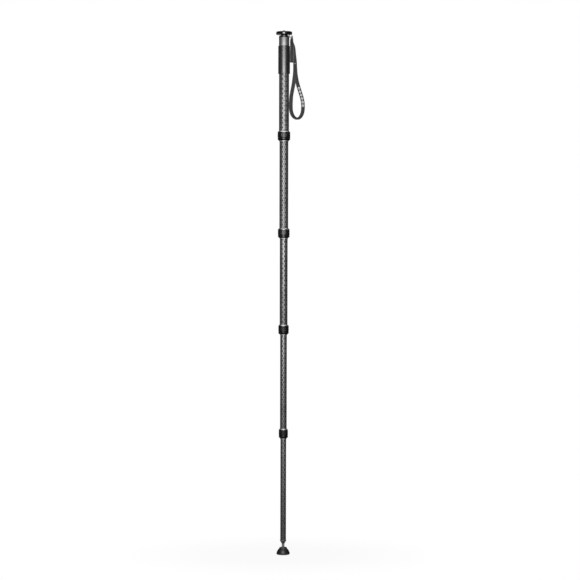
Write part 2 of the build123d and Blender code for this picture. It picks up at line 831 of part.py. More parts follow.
# Rubber foot moulded round the core: flat sole with a groove, bulging edge, domed top
sole_radius = foot_radius * foot_sole_share
with BuildPart() as foot_pad:
    with BuildSketch(Plane.XZ):
        with BuildLine():
            Polyline((0, core_bottom), (0, 0), (sole_radius, 0))
            ThreePointArc(
                (sole_radius, 0),
                (foot_radius * foot_bulge_share, core_top * foot_bulge_height_share),
                (foot_radius, core_top * foot_widest_share),
            )
            ThreePointArc(
                (foot_radius, core_top * foot_widest_share),
                (foot_radius * foot_dome_share, core_top * foot_dome_height_share),
                (foot_rubber_top_radius, core_top),
            )
            Polyline(
                (foot_rubber_top_radius, core_top),
                (core_radius, core_top),
                (core_radius, core_bottom),
                (0, core_bottom),
            )
        make_face()
    revolve(axis=Axis.Z)
    with BuildSketch(Plane.XY):
        Circle(sole_groove_radius + sole_groove_width / 2)
        Circle(sole_groove_radius - sole_groove_width / 2, mode=Mode.SUBTRACT)
    extrude(amount=sole_groove_depth, mode=Mode.SUBTRACT)
keep(foot_pad, "foot_pad")
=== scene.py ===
# Camera monopod of five carbon tubes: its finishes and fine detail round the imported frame.
# Metres, +Z up. The front looks along -Y, and the wrist strap hangs on the +X side.
import json
from math import asin, cos, degrees, pi, radians, sin, tan

import bmesh
import bpy
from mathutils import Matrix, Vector


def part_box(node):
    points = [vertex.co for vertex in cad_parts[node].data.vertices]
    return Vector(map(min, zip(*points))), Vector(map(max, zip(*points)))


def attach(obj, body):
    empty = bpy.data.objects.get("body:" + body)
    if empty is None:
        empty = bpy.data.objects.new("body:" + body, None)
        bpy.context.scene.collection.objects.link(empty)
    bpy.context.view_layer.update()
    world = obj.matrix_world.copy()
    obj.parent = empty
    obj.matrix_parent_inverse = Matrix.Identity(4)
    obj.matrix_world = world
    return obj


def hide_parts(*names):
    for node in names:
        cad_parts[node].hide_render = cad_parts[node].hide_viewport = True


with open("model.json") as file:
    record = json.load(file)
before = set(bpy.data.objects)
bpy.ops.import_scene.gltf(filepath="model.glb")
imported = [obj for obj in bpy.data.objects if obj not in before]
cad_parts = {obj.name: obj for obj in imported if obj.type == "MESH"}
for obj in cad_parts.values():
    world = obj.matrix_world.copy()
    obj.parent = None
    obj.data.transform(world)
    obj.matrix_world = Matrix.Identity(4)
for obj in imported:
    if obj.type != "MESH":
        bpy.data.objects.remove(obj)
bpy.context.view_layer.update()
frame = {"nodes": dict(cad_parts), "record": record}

MM = 0.001
FULL_TURN = 2 * pi
AXIS = Vector((0, 0, 1))

# Fits and walls of the turned pieces, as the frame has them
running_fit = 0.06 * MM
wiper_fit = 0.1 * MM
free_gap = 0.3 * MM
tube_walls = [wall * MM for wall in (1.4, 1.1, 1.2, 1.0, 1.1)]
tube_end_ease = 0.2 * MM
pin_hole_radius = 1.56 * MM
cut_over = 1.0 * MM  # how far a cutter reaches past the piece

# Fineness of the meshes
tube_turns = 112  # facets round a turned piece
wide_turns = 144  # facets round the platform and the foot
screw_turns = 40
set_screw_turns = 32
stud_turns = 64
ball_turns = 72
ball_arc_steps = 28
foot_arc_steps = 10
edge_steps = 4  # facets round an eased edge
ring_edge_steps = 3
thread_steps = 40  # along each turn of a screw thread
axis_reach = 0.06 * MM  # points closer to the axis than this lie on it
merge_distance = 0.006 * MM
sharp_angle = radians(32)
flat_angle = radians(2)  # faces that meet flatter than this are made one
corner_angle = radians(50)  # the ring's corners sharper than this are eased

# Weave of the braid
braid_width = 7.2 * MM  # one diamond, round the tube
braid_length = 16 * MM  # one diamond, along the tube
braid_lean = 0.1  # how far a tow's sheen leans to its own side

# Locks
thread_wall = 1.0 * MM
collar_rim_height = 0.5 * MM
collar_chamfer_height = 3.9 * MM
collar_top_lip = 0.6 * MM
nut_rim_height = 1.0 * MM
nut_edge = 0.15 * MM
nut_mouth = 1.2 * MM
collet_base_height = 5.0 * MM
collet_head_height = 2.2 * MM
rubber_thickness = 1.3 * MM
rubber_edge = 0.6 * MM
groove_height = 5.0 * MM
groove_width = 3.4 * MM
groove_depth = 0.8 * MM
flute_pitch = 4.4 * MM
flute_width = 1.44 * MM
flute_depth = 0.3 * MM
flute_inset = 1.2 * MM
flute_runout = 0.8 * MM
facets_per_flute = 10
flute_rows = 12  # rings of points along a flute
taper_rise = 1.8 * MM  # from the band's lower end to the top of the nut's taper
taper_lip = 1.5 * MM
pale_ring_height = 1.7 * MM
wiper_lip = 1.1 * MM
wiper_spigot_height = 1.2 * MM
wiper_edge = 0.25 * MM

# Grip and upper end
grip_edge = 0.9 * MM
grip_lip_height = 2.6 * MM
grip_lip_depth = 0.35 * MM
collar_edge = 0.25 * MM
shoulder_edge = 1.4 * MM
neck_radius = 11.2 * MM
neck_ease = 0.4 * MM
spigot_radius = 8.0 * MM
spigot_height = 4.4 * MM
cap_plug_depth = 10.0 * MM
cap_plug_edge = 0.6 * MM
cap_edge = 0.2 * MM
stud_hole_spare = 1.0 * MM  # of the hole below the stud

# Camera platform
disc_edge = 0.6 * MM
disc_rim_groove_height = 4.6 * MM
disc_rim_groove_width = 0.9 * MM
disc_rim_groove_depth = 0.5 * MM
pad_recess_depth = 0.8 * MM
pad_edge = 0.4 * MM
screw_circle = 17.5 * MM
screw_count = 3
set_screw_radius = 2.0 * MM
set_screw_hex = 2.0 * MM
set_screw_hex_depth = 2.0 * MM
screw_edge = 0.3 * MM
rim_screw_height = 2.9 * MM
rim_screw_sink = 0.5 * MM
rim_screw_head = 2.3 * MM
rim_screw_head_length = 4.0 * MM
rim_screw_shank = 1.5 * MM
rim_screw_hex = 2.5 * MM
rim_screw_hex_depth = 2.4 * MM

# Camera stud
stud_thin_radius = 3.175 * MM
stud_thin_pitch = 1.27 * MM
stud_thick_radius = 4.7625 * MM
stud_thick_pitch = 1.5875 * MM
stud_collar_height = 1.5 * MM
stud_end = 0.5 * MM
stud_hex = 4.0 * MM
thread_depth_share = 0.54  # of the pitch
thread_base_share = 0.94  # of the pitch
thread_runout_share = 0.12  # of the thread, at each end

# Wrist strap of flat webbing, on its bent steel ring
ring_thickness = 1.8 * MM
ring_edge = 0.3 * MM
webbing_width = 12.4 * MM
webbing_thickness = 1.5 * MM
webbing_selvedge = 0.55 * MM
edge_highlight_reach = 1.32 * MM  # from the edge to where the paler edge yarn ends, a painted highlight of the webbing's edges
webbing_step = 1.5 * MM
webbing_column = 1.3 * MM  # of its weave, across
webbing_rib = 2.1 * MM  # of its weave, along
webbing_fold_radius = 2.65 * MM
webbing_fold_slack = 1.8 * MM
webbing_layer_gap = 0.12 * MM
tab_bar_width = 3.0 * MM
tab_thickness = 1.6 * MM
hanger_reach = 84.0 * MM
hanger_stagger = 6.4 * MM
hanger_lean = 3.1 * MM
strap_drop = 268.5 * MM
strap_swing = 36.9 * MM
hanger_tack_reach_share = 0.92
loop_tack_drop_share = 0.325
loop_tack_swing_share = 0.258
tack_length = 9.0 * MM
tack_height = 2.2 * MM
tack_threads = 17
tack_rail_share = 0.2  # of its height, from the middle to each lengthwise thread
thread_radius = 0.28 * MM
motif_pitch = 12.0 * MM
motif_width_share = 0.8  # of the webbing's width
motif_low_share, motif_high_share = 0.86, 0.6  # of the drop, on the outer run
stitch_length = 2.6 * MM
stitch_pitch = 3.4 * MM
stitch_inset = 1.5 * MM  # from the webbing's edge
sewn_length = 96.0 * MM  # of each end of the loop

# Foot and ball joint
ball_radius = 7.0 * MM
ball_height = 13.0 * MM
ball_fit = 0.06 * MM
liner_thickness = 1.2 * MM
liner_seat_radius = ball_radius + ball_fit + liner_thickness + ball_fit
shank_radius = 4.35 * MM
shank_thread_radius = 3.0 * MM
plug_tip_radius = 4.6 * MM
plug_cone_height = 10.2 * MM
plug_flange_height = 1.8 * MM
plug_edge = 0.3 * MM
plug_end_edge = 0.6 * MM
core_radius = 11.0 * MM
core_wall = 1.2 * MM
core_top = 20.0 * MM
core_floor = 1.7 * MM
retainer_flare_radius = 10.7 * MM
retainer_top_radius = 11.7 * MM
retainer_inset = 0.3 * MM
retainer_edge = 0.2 * MM
foot_radius = 21.9 * MM
foot_top_radius = 13.5 * MM
foot_sole_share = 0.86
foot_bulge_share = 0.965
foot_bulge_height_share = 0.07
foot_widest_share = 0.22
foot_dome_share = 0.885
foot_dome_height_share = 0.62
sole_groove_radius = 11.5 * MM
sole_groove_width = 1.8 * MM
sole_groove_depth = 1.0 * MM

# Camera and studio
camera_side = 21.04 * MM
camera_distance = 6.864
camera_height = 0.873
camera_lens = 129.1
sensor_width = 36.0
camera_roll = radians(0.12)
key_side, key_distance, key_height = -0.17, 2.0, 1.42
key_size, key_glow = 1.25, 8.2
top_side, top_distance, top_height = 0.8, 2.2, 3.4
top_size, top_glow = 1.6, 2.5
back_distance, back_width = 2.4, 0.9
# Lower end, upper end and glow of the back lamps; the gap keeps the platform's underside dark
back_boxes = [(0.0, 0.8, 3.5), (1.8, 2.7, 9.0)]
world_glow = 0.22
card_radius, card_height = 1.5, 3.9
card_start, card_end = 30, 179  # degrees round from the front
card_steps = 16
card_tones = {-1: 0.08, 1: 0.03}  # of the left and the right card
floor_card_start, floor_card_lift, floor_card_tone = 0.03, 0.001, 0.03
floor_card_facets = 48
floor_half = 9.0
floor_tone = 0.35
floor_fade_start, floor_fade_end = 0.12, 0.6
floor_shadow_share = 0.06


# Node trees

class Socket:
    """An output in a node tree. Arithmetic on it adds Math nodes."""

    def __init__(self, tree, end):
        self.tree = tree
        self.end = end

    def twin(self, name):
        """Another output of the same node."""
        return Socket(self.tree, self.tree.find(self.end.node.outputs, name))

    def __add__(self, other):
        return self.tree.maths("ADD", self, other)

    def __radd__(self, other):
        return self.tree.maths("ADD", other, self)

    def __sub__(self, other):
        return self.tree.maths("SUBTRACT", self, other)

    def __rsub__(self, other):
        return self.tree.maths("SUBTRACT", other, self)

    def __mul__(self, other):
        return self.tree.maths("MULTIPLY", self, other)

    def __rmul__(self, other):
        return self.tree.maths("MULTIPLY", other, self)

    def __truediv__(self, other):
        return self.tree.maths("DIVIDE", self, other)

    def __rtruediv__(self, other):
        return self.tree.maths("DIVIDE", other, self)

    def __pow__(self, other):
        return self.tree.maths("POWER", self, other)

    def __abs__(self):
        return self.tree.maths("ABSOLUTE", self)

    def floor(self):
        return self.tree.maths("FLOOR", self)

    def fract(self):
        return self.tree.maths("FRACT", self)

    def wave(self):
        """Sine of this many whole turns."""
        return self.tree.maths("SINE", self * FULL_TURN)

    def ramp(self, low, high):
        """Eases from 0 at low to 1 at high."""
        settings = {"interpolation_type": "SMOOTHSTEP"}
        sockets = {"Value": self, "From Min": low, "From Max": high}
        return self.tree.node("ShaderNodeMapRange", settings, sockets)


class Tree:
    """The nodes of one material, world or geometry tree."""

    def __init__(self, owner):
        self.nodes = owner.nodes
        self.links = owner.links
        self.nodes.clear()

    @staticmethod
    def find(sockets, key):
        if isinstance(key, int):
            return sockets[key]
        return next(each for each in sockets if key in (each.identifier, each.name))

    def fill(self, end, value):
        """Links a socket or a list of sockets to an input, or sets its value."""
        for item in value if isinstance(value, list) else [value]:
            if isinstance(item, Socket):
                self.links.new(item.end, end)
            else:
                end.default_value = item

    def node(self, kind, settings=None, sockets=None, output=0):
        """Adds a node, sets it up, fills its inputs and hands back one of its outputs."""
        made = self.nodes.new(kind)
        for name, value in (settings or {}).items():
            setattr(made, name, value)
        for key, value in (sockets or {}).items():
            self.fill(self.find(made.inputs, key), value)
        return Socket(self, self.find(made.outputs, output)) if made.outputs else None

    def maths(self, operation, *terms):
        return self.node("ShaderNodeMath", {"operation": operation}, dict(enumerate(terms)))

    def vector_maths(self, operation, *terms, output=0):
        settings = {"operation": operation}
        return self.node("ShaderNodeVectorMath", settings, dict(enumerate(terms)), output)

    def scaled(self, vector, share):
        sockets = {"Vector": vector, "Scale": share}
        return self.node("ShaderNodeVectorMath", {"operation": "SCALE"}, sockets)

    def vector(self, x, y, z):
        return self.node("ShaderNodeCombineXYZ", sockets={0: x, 1: y, 2: z})

    def from_axis(self, x, y):
        return self.maths("SQRT", x * x + y * y)

    def parts(self, vector):
        """The X, Y and Z of a vector."""
        first = self.node("ShaderNodeSeparateXYZ", sockets={0: vector})
        return first, first.twin("Y"), first.twin("Z")


def new_material(name):
    material = bpy.data.materials.new(name)
    material.use_nodes = True
    return material


def grey(level, warmth=0.0):
    """A neutral colour; warmth moves it a little towards yellow, or below zero towards blue."""
    return (level * (1 + warmth), level, level * (1 - warmth), 1.0)


class Finish(Tree):
    """A surface finish: one Principled shader, with steady values on its own sockets."""

    def __init__(self, name, steady):
        self.material = new_material(name)
        super().__init__(self.material.node_tree)
        self.shader = self.nodes.new("ShaderNodeBsdfPrincipled")
        self.node("ShaderNodeOutputMaterial", sockets={"Surface": Socket(self, self.shader.outputs[0])})
        self.set(steady)
        self.place = self.node("ShaderNodeTexCoord", output="Object")

    def set(self, sockets):
        for key, value in sockets.items():
            self.fill(self.shader.inputs[key], value)

    def mix(self, share, first, second):
        """Blends two colours."""
        sockets = {"Factor_Float": share, "A_Color": first, "B_Color": second}
        return self.node("ShaderNodeMix", {"data_type": "RGBA"}, sockets, "Result_Color")

    def grain(self, size, detail=2.0, place=None):
        """Noise of about this size, from 0 to 1."""
        sockets = {"Vector": place or self.place, "Scale": 1 / size, "Detail": detail}
        return self.node("ShaderNodeTexNoise", sockets=sockets)

    def turning_lines(self, pitch):
        """Fine lines left by a lathe: noise that changes with height and radius alone."""
        x, y, height = self.parts(self.place)
        return self.grain(pitch, 1.0, self.vector(self.from_axis(x, y), 0.0, height))

    def raise_by(self, height, depth, normal=None):
        """Bump from a height of 0 to 1 that stands for a depth in metres."""
        sockets = {"Height": height, "Distance": depth, "Strength": 1.0}
        if normal:
            sockets["Normal"] = normal
        self.set({"Normal": self.node("ShaderNodeBump", sockets=sockets)})


# Finishes

def braided_carbon():
    """Clear-coated braid: tows cross in diamonds, over and under in turn."""
    made = Finish("braided_carbon", {"Coat Roughness": 0.22, "IOR": 1.5})
    weave = made.node("ShaderNodeUVMap", {"uv_map": "weave"})
    around, along, _ = made.parts(weave)
    rising = around + along
    falling = around - along
    over = made.maths("PINGPONG", rising.floor() + falling.floor(), 1.0)
    rising_part = rising.fract()
    falling_part = falling.fract()
    across = rising_part + (falling_part - rising_part) * over
    down = falling_part + (rising_part - falling_part) * over
    edge = abs(across * 2 - 1)
    end = abs(down * 2 - 1)
    gap = (edge * end).ramp(0.08, 0.62)
    filaments = (across * 15).wave() * 0.5 + 0.5
    crown = (1 - edge ** 3) * (1 - 0.6 * end ** 4)
    drift = made.grain(28 * MM).ramp(0.3, 0.7)
    tow = made.mix(drift, grey(0.17, 0.01), grey(0.22, 0.01))
    tow = made.mix(filaments * 0.25, tow, grey(0.07))
    made.set({
        "Base Color": made.mix(gap, tow, grey(0.008)),
        "Metallic": 0.75 - gap * 0.35,
        "Roughness": 0.42 + gap * 0.1 + drift * 0.05,
        "Coat Weight": 0.35 + drift * 0.15,
    })
    surface = made.node("ShaderNodeNewGeometry", output="Normal")
    sideways = made.vector_maths("CROSS_PRODUCT", (0, 0, 1), surface)
    lean = made.scaled(sideways, (over * 2 - 1) * (1 - gap) * braid_lean)
    tilted = made.vector_maths("NORMALIZE", made.vector_maths("ADD", surface, lean))
    made.raise_by(crown + filaments * 0.08, depth=0.12 * MM, normal=tilted)
    return made.material


def smooth_rubber():
    """Satin rubber of the grip sleeve, with an uneven polish."""
    made = Finish("smooth_rubber", {"Specular IOR Level": 1.0, "IOR": 1.72})
    cloud = made.grain(9 * MM)
    pores = made.grain(0.45 * MM, 3.0)
    made.set({
        "Base Color": made.mix(cloud.ramp(0.35, 0.75), grey(0.006, -0.05), grey(0.011, -0.04)),
        "Roughness": 0.3 + cloud * 0.06 + pores * 0.04,
    })
    made.raise_by(pores * 0.6 + cloud * 0.4, depth=0.05 * MM)
    return made.material


def satin_aluminium():
    """Clear-anodised aluminium of the top collar and the end plug, turned and then blasted."""
    made = Finish("satin_aluminium", {"Metallic": 1.0})
    lines = made.turning_lines(0.35 * MM)
    blast = made.grain(0.25 * MM, 2.0)
    cloud = made.grain(12 * MM)
    made.set({
        "Base Color": made.mix(cloud.ramp(0.3, 0.7), grey(0.26, -0.01), grey(0.31, -0.01)),
        "Roughness": 0.5 + lines * 0.08 + blast * 0.05,
    })
    made.raise_by(lines * 0.5 + blast * 0.5, depth=0.012 * MM)
    return made.material


def bright_aluminium():
    """Machined aluminium of the lock collars, with visible lathe lines."""
    made = Finish("bright_aluminium", {"Metallic": 1.0})
    lines = made.turning_lines(0.22 * MM)
    cloud = made.grain(6 * MM)
    made.set({
        "Base Color": made.mix(cloud.ramp(0.3, 0.7), grey(0.62), grey(0.72)),
        "Roughness": 0.26 + lines * 0.14,
    })
    made.raise_by(lines, depth=0.02 * MM)
    return made.material


def pale_satin_ring():
    """Pale satin metal of the wiper rings, a little dusty."""
    made = Finish("pale_satin_ring", {"Metallic": 0.85})
    lines = made.turning_lines(0.3 * MM)
    dust = made.grain(2.5 * MM, 4.0)
    made.set({
        "Base Color": made.mix(dust.ramp(0.4, 0.8), grey(0.78), grey(0.64, 0.02)),
        "Roughness": 0.4 + lines * 0.1 + dust * 0.06,
    })
    made.raise_by(lines, depth=0.012 * MM)
    return made.material


def black_anodised():
    """Black anodised aluminium with a fine satin and faint handling marks."""
    made = Finish("black_anodised", {"Metallic": 0.9})
    lines = made.turning_lines(0.4 * MM)
    marks = made.grain(1.6 * MM, 5.0).ramp(0.55, 0.8)
    made.set({
        "Base Color": made.mix(marks, grey(0.03, -0.02), grey(0.055)),
        "Roughness": 0.24 + lines * 0.08 + marks * 0.08,
    })
    made.raise_by(lines, depth=0.01 * MM)
    return made.material


def pebbled_rubber():
    """Matt rubber of the camera pad, moulded with a fine pebble."""
    made = Finish("pebbled_rubber", {"Specular IOR Level": 0.45})
    sockets = {"Vector": made.place, "Scale": 1 / (0.9 * MM)}
    pebble = made.node("ShaderNodeTexVoronoi", {"feature": "SMOOTH_F1"}, sockets)
    cloud = made.grain(7 * MM)
    made.set({
        "Base Color": made.mix(cloud.ramp(0.35, 0.7), grey(0.016), grey(0.028)),
        "Roughness": 0.62 + cloud * 0.12,
    })
    made.raise_by(1 - pebble, depth=0.14 * MM)
    return made.material


def turned_steel(name, level):
    """Turned steel, with faint stains in its plating."""
    made = Finish(name, {"Metallic": 1.0})
    lines = made.turning_lines(0.25 * MM)
    stain = made.grain(3 * MM, 3.0).ramp(0.5, 0.85)
    made.set({
        "Base Color": made.mix(stain, grey(level), grey(level * 0.75, 0.03)),
        "Roughness": 0.26 + lines * 0.12 + stain * 0.1,
    })
    made.raise_by(lines, depth=0.012 * MM)
    return made.material


def blackened_steel():
    """Oiled black steel of the set screws and of the rim screw's socket."""
    made = Finish("blackened_steel", {"Metallic": 0.95})
    oil = made.grain(0.8 * MM, 3.0)
    made.set({
        "Base Color": made.mix(oil.ramp(0.4, 0.75), grey(0.03), grey(0.06, 0.03)),
        "Roughness": 0.3 + oil * 0.2,
    })
    made.raise_by(oil, depth=0.015 * MM)
    return made.material


def ribbed_rubber():
    """Black rubber of the lock bands, with dust worked into it."""
    made = Finish("ribbed_rubber", {"Specular IOR Level": 0.4, "IOR": 1.5})
    skin = made.grain(0.35 * MM, 3.0)
    dust = made.grain(3.5 * MM, 4.0).ramp(0.45, 0.8)
    made.set({
        "Base Color": made.mix(dust, grey(0.007, -0.02), grey(0.014)),
        "Roughness": 0.13 + skin * 0.04 + dust * 0.08,
    })
    made.raise_by(skin, depth=0.04 * MM)
    return made.material


def foot_rubber():
    """Matt rubber of the foot, scuffed paler towards the sole."""
    made = Finish("foot_rubber", {"Specular IOR Level": 0.6})
    _, _, height = made.parts(made.place)
    scuffs = made.grain(1.4 * MM, 5.0)
    low = 1 - height.ramp(0.0, 7 * MM)
    scuffed = (low * scuffs.ramp(0.45, 0.75)) * 0.15
    made.set({
        "Base Color": made.mix(scuffed, grey(0.009), grey(0.03, 0.03)),
        "Roughness": 0.42 + scuffs * 0.1 + scuffed * 0.15,
    })
    made.raise_by(scuffs, depth=0.07 * MM)
    return made.material


def moulded_plastic(name, level):
    """Plain moulded plastic with a fine spark-eroded grain."""
    made = Finish(name, {"Specular IOR Level": 0.5})
    spark = made.grain(0.3 * MM, 2.0)
    cloud = made.grain(8 * MM)
    made.set({
        "Base Color": made.mix(cloud.ramp(0.3, 0.7), grey(level * 0.85), grey(level * 1.15)),
        "Roughness": 0.48 + spark * 0.14,
    })
    made.raise_by(spark, depth=0.03 * MM)
    return made.material


def nylon_webbing(name, edge_highlight_tone, motif=None):
    """Black nylon webbing with ribs across it, painted shade in the hollows of its weave, a painted
    highlight along its paler edges, and pale lozenges along the stretch of a motif.
    """
    made = Finish(name, {"Sheen Weight": 0.2, "Sheen Roughness": 0.45, "Specular IOR Level": 0.4})
    weave = made.node("ShaderNodeUVMap", {"uv_map": "weave"})
    across, along, _ = made.parts(weave)
    column = across / webbing_column
    half_step = made.maths("PINGPONG", column.floor(), 1.0) * 0.5
    rib = abs((along / webbing_rib + half_step).fract() * 2 - 1)
    warp = abs(column.fract() * 2 - 1)
    hump = (1 - rib ** 2) * (1 - warp ** 4)
    fuzz = made.grain(0.5 * MM, 4.0)
    wear = made.grain(14 * MM, 2.0).ramp(0.35, 0.75)
    yarn = made.mix(wear, grey(0.018, 0.02), grey(0.033, 0.03))
    half = webbing_width / 2
    # Painted highlight: the webbing's edges are painted paler, standing in for light catching them
    rim = abs(across).ramp(half - edge_highlight_reach, half - webbing_selvedge)
    yarn = made.mix(rim * 0.7, yarn, grey(edge_highlight_tone, 0.03))
    if motif:
        start, end = motif
        count = round((end - start) / motif_pitch)
        step = (along - start) / ((end - start) / count)
        reach = abs(step.fract() * 2 - 1) + abs(across) / (half * motif_width_share)
        inside = made.maths("GREATER_THAN", along, start) * made.maths("LESS_THAN", along, end)
        lozenge = (1 - reach.ramp(0.86, 1.0)) * reach.ramp(0.28, 0.42) * inside
        yarn = made.mix(lozenge, yarn, grey(0.78, 0.02))
    made.set({
        # Painted shade: the hollows between the weave's ribs and yarns are mixed towards a darker grey
        "Base Color": made.mix((1 - hump) * 0.6, yarn, grey(0.014)),
        "Roughness": 0.62 + fuzz * 0.2,
    })
    made.raise_by(hump + fuzz * 0.25, depth=0.16 * MM)
    return made.material


def sewing_thread(name, dark, pale):
    """Bonded thread with its twist."""
    made = Finish(name, {"Sheen Weight": 0.2, "Specular IOR Level": 0.5})
    x, _, height = made.parts(made.place)
    twist = ((x + height * 0.6) / (0.35 * MM)).wave() * 0.5 + 0.5
    made.set({
        "Base Color": made.mix(twist, grey(dark, 0.02), grey(pale, 0.02)),
        "Roughness": 0.5 + twist * 0.12,
    })
    made.raise_by(twist, depth=0.06 * MM)
    return made.material


finishes = {
    "carbon": braided_carbon(),
    "grip_rubber": smooth_rubber(),
    "satin_aluminium": satin_aluminium(),
    "black_anodised": black_anodised(),
    "pad_rubber": pebbled_rubber(),
    "steel": turned_steel("turned_steel", 0.42),
    "black_steel": blackened_steel(),
    "bright_collar": bright_aluminium(),
    "lock_rubber": ribbed_rubber(),
    "pale_ring": pale_satin_ring(),
    "guide_plastic": moulded_plastic("guide_plastic", 0.06),
    "hard_plastic": moulded_plastic("hard_plastic", 0.03),
    "webbing": nylon_webbing("nylon_webbing", edge_highlight_tone=0.36),
    "strap_thread": sewing_thread("grey_thread", 0.16, 0.34),
    "foot_rubber": foot_rubber(),
}


# Pieces and the frame

body_of_node = {
    node: body
    for body, nodes in frame["record"]["behaviour"]["bodies"].items()
    for node in nodes
}
slot_of_node = {row["node"]: row["material_slot"] for row in frame["record"]["subparts"]}


class Span:
    """Radius, lower end and upper end of a round node."""

    def __init__(self, node):
        low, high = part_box(node)
        self.radius = high.y
        self.low = low.z
        self.high = high.z


def seat(piece, *nodes):
    """Puts a finished piece in the place of its nodes, on their body and in their finish."""
    slot = slot_of_node[nodes[0]]
    if not piece.data.materials:
        piece.data.materials.append(finishes[slot])
    piece.data.shade_smooth()
    piece.data.set_sharp_from_angle(angle=sharp_angle)
    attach(piece, body_of_node[nodes[0]])
    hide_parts(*nodes)


def dress(node):
    """Gives a node that stays as it is the finish of its slot."""
    piece = frame["nodes"][node]
    for slot in piece.material_slots:
        slot.link = "OBJECT"
        slot.material = finishes[slot_of_node[node]]


def place_object(name, mesh):
    piece = bpy.data.objects.new(name, mesh)
    bpy.context.scene.collection.objects.link(piece)
    return piece


def mesh_of(name, shape):
    """A mesh from a shape that was worked on, which is let go."""
    mesh = bpy.data.meshes.new(name)
    shape.to_mesh(mesh)
    shape.free()
    return mesh


def settle(piece):
    """Leaves a piece with the plain mesh that its modifiers make."""
    graph = bpy.context.evaluated_depsgraph_get()
    mesh = bpy.data.meshes.new_from_object(
        piece.evaluated_get(graph), preserve_all_data_layers=True, depsgraph=graph
    )
    piece.modifiers.clear()
    piece.data = mesh
    return piece


def cut(piece, *cutters):
    """Cuts other closed pieces out of a piece, and removes them."""
    for cutter in cutters:
        modifier = piece.modifiers.new("cut", "BOOLEAN")
        modifier.operation = "DIFFERENCE"
        modifier.solver = "EXACT"
        modifier.object = cutter
    settle(piece)
    for cutter in cutters:
        bpy.data.objects.remove(cutter)
    return piece


# Turned pieces

def eased(corners):
    """Points of a closed outline of (radius, height, easing) corners, with arcs at eased ones."""
    points = []
    count = len(corners)
    for k, (radius, height, easing) in enumerate(corners):
        here = Vector((radius, height, 0))
        if not easing:
            points.append(here)
            continue
        back = (Vector((*corners[k - 1][:2], 0)) - here).normalized()
        onward = (Vector((*corners[(k + 1) % count][:2], 0)) - here).normalized()
        half = back.angle(onward) / 2
        centre = here + (back + onward).normalized() * (easing / sin(half))
        start = here + back * (easing / tan(half)) - centre
        finish = here + onward * (easing / tan(half)) - centre
        turns = [start.slerp(finish, step / edge_steps) for step in range(edge_steps + 1)]
        points += [centre + turn * easing for turn in turns]
    return [(point.x, point.y) for point in points]


def arc(centre_height, radius, start, end, steps=foot_arc_steps):
    """Corners of a round stretch about a point on the axis; angles in degrees from outward."""
    corners = []
    for step in range(steps + 1):
        angle = radians(start + (end - start) * step / steps)
        corners.append((max(0.0, radius * cos(angle)), centre_height + radius * sin(angle), 0))
    return corners


def bow(start, middle, end, steps=foot_arc_steps):
    """Corners of the circular arc through three (radius, height) points."""
    a, b, c = (Vector(point) for point in (start, middle, end))
    double_area = 2 * (a.x * (b.y - c.y) + b.x * (c.y - a.y) + c.x * (a.y - b.y))
    squares = [point.length_squared for point in (a, b, c)]
    rises = (b.y - c.y, c.y - a.y, a.y - b.y)
    runs = (c.x - b.x, a.x - c.x, b.x - a.x)
    centre = Vector((
        sum(square * rise for square, rise in zip(squares, rises)) / double_area,
        sum(square * run for square, run in zip(squares, runs)) / double_area,
    ))
    first = (a - centre).to_3d()
    last = (c - centre).to_3d()
    turns = [first.slerp(last, step / steps) for step in range(steps + 1)]
    points = [turn * first.length for turn in turns]
    return [(centre.x + point.x, centre.y + point.y, 0) for point in points]


def spin(outline, facets=tube_turns, braid_cells=0):
    """Mesh of a closed (radius, height) outline spun round the axis, with a braid map if asked."""
    shape = bmesh.new()
    rings = []
    for radius, height in outline:
        if radius < axis_reach:
            rings.append([shape.verts.new((0, 0, height))] * facets)
            continue
        angles = [FULL_TURN * k / facets for k in range(facets)]
        rings.append([shape.verts.new((radius * cos(a), radius * sin(a), height)) for a in angles])
    braid = shape.loops.layers.uv.new("weave") if braid_cells else None
    for ring, onward in zip(rings, rings[1:] + rings[:1]):
        for k in range(facets):
            after = (k + 1) % facets
            corners = [(ring[k], k), (ring[after], k + 1), (onward[after], k + 1), (onward[k], k)]
            step_of = {vert: step for vert, step in reversed(corners)}
            if len(step_of) < 3:
                continue
            face = shape.faces.new(list(dict.fromkeys(vert for vert, _ in corners)))
            if braid:
                for loop in face.loops:
                    share = step_of[loop.vert] / facets
                    loop[braid].uv = (share * braid_cells, loop.vert.co.z / braid_length)
    bmesh.ops.recalc_face_normals(shape, faces=shape.faces)
    return mesh_of("turned", shape)


def turned(name, corners, facets=tube_turns, braid_cells=0):
    """A piece turned round the pole's axis."""
    return place_object(name, spin(eased(corners), facets, braid_cells))


def make_turned(node, name, corners, facets=tube_turns):
    """Turns a piece and puts it in its node's place."""
    seat(turned(name, corners, facets), node)


def bar(radius, start, end, sides=screw_turns):
    """A round or many-sided bar between two points, for cutting."""
    shape = bmesh.new()
    along = end - start
    turn = AXIS.rotation_difference(along).to_matrix().to_4x4()
    turn.translation = (start + end) / 2
    bmesh.ops.create_cone(
        shape, cap_ends=True, segments=sides, radius1=radius, radius2=radius,
        depth=along.length, matrix=turn,
    )
    return place_object("bar", mesh_of("bar", shape))


def hex_bar(across_flats, start, end):
    return bar(across_flats / 2 / cos(pi / 6), start, end, sides=6)


# Geometry trees

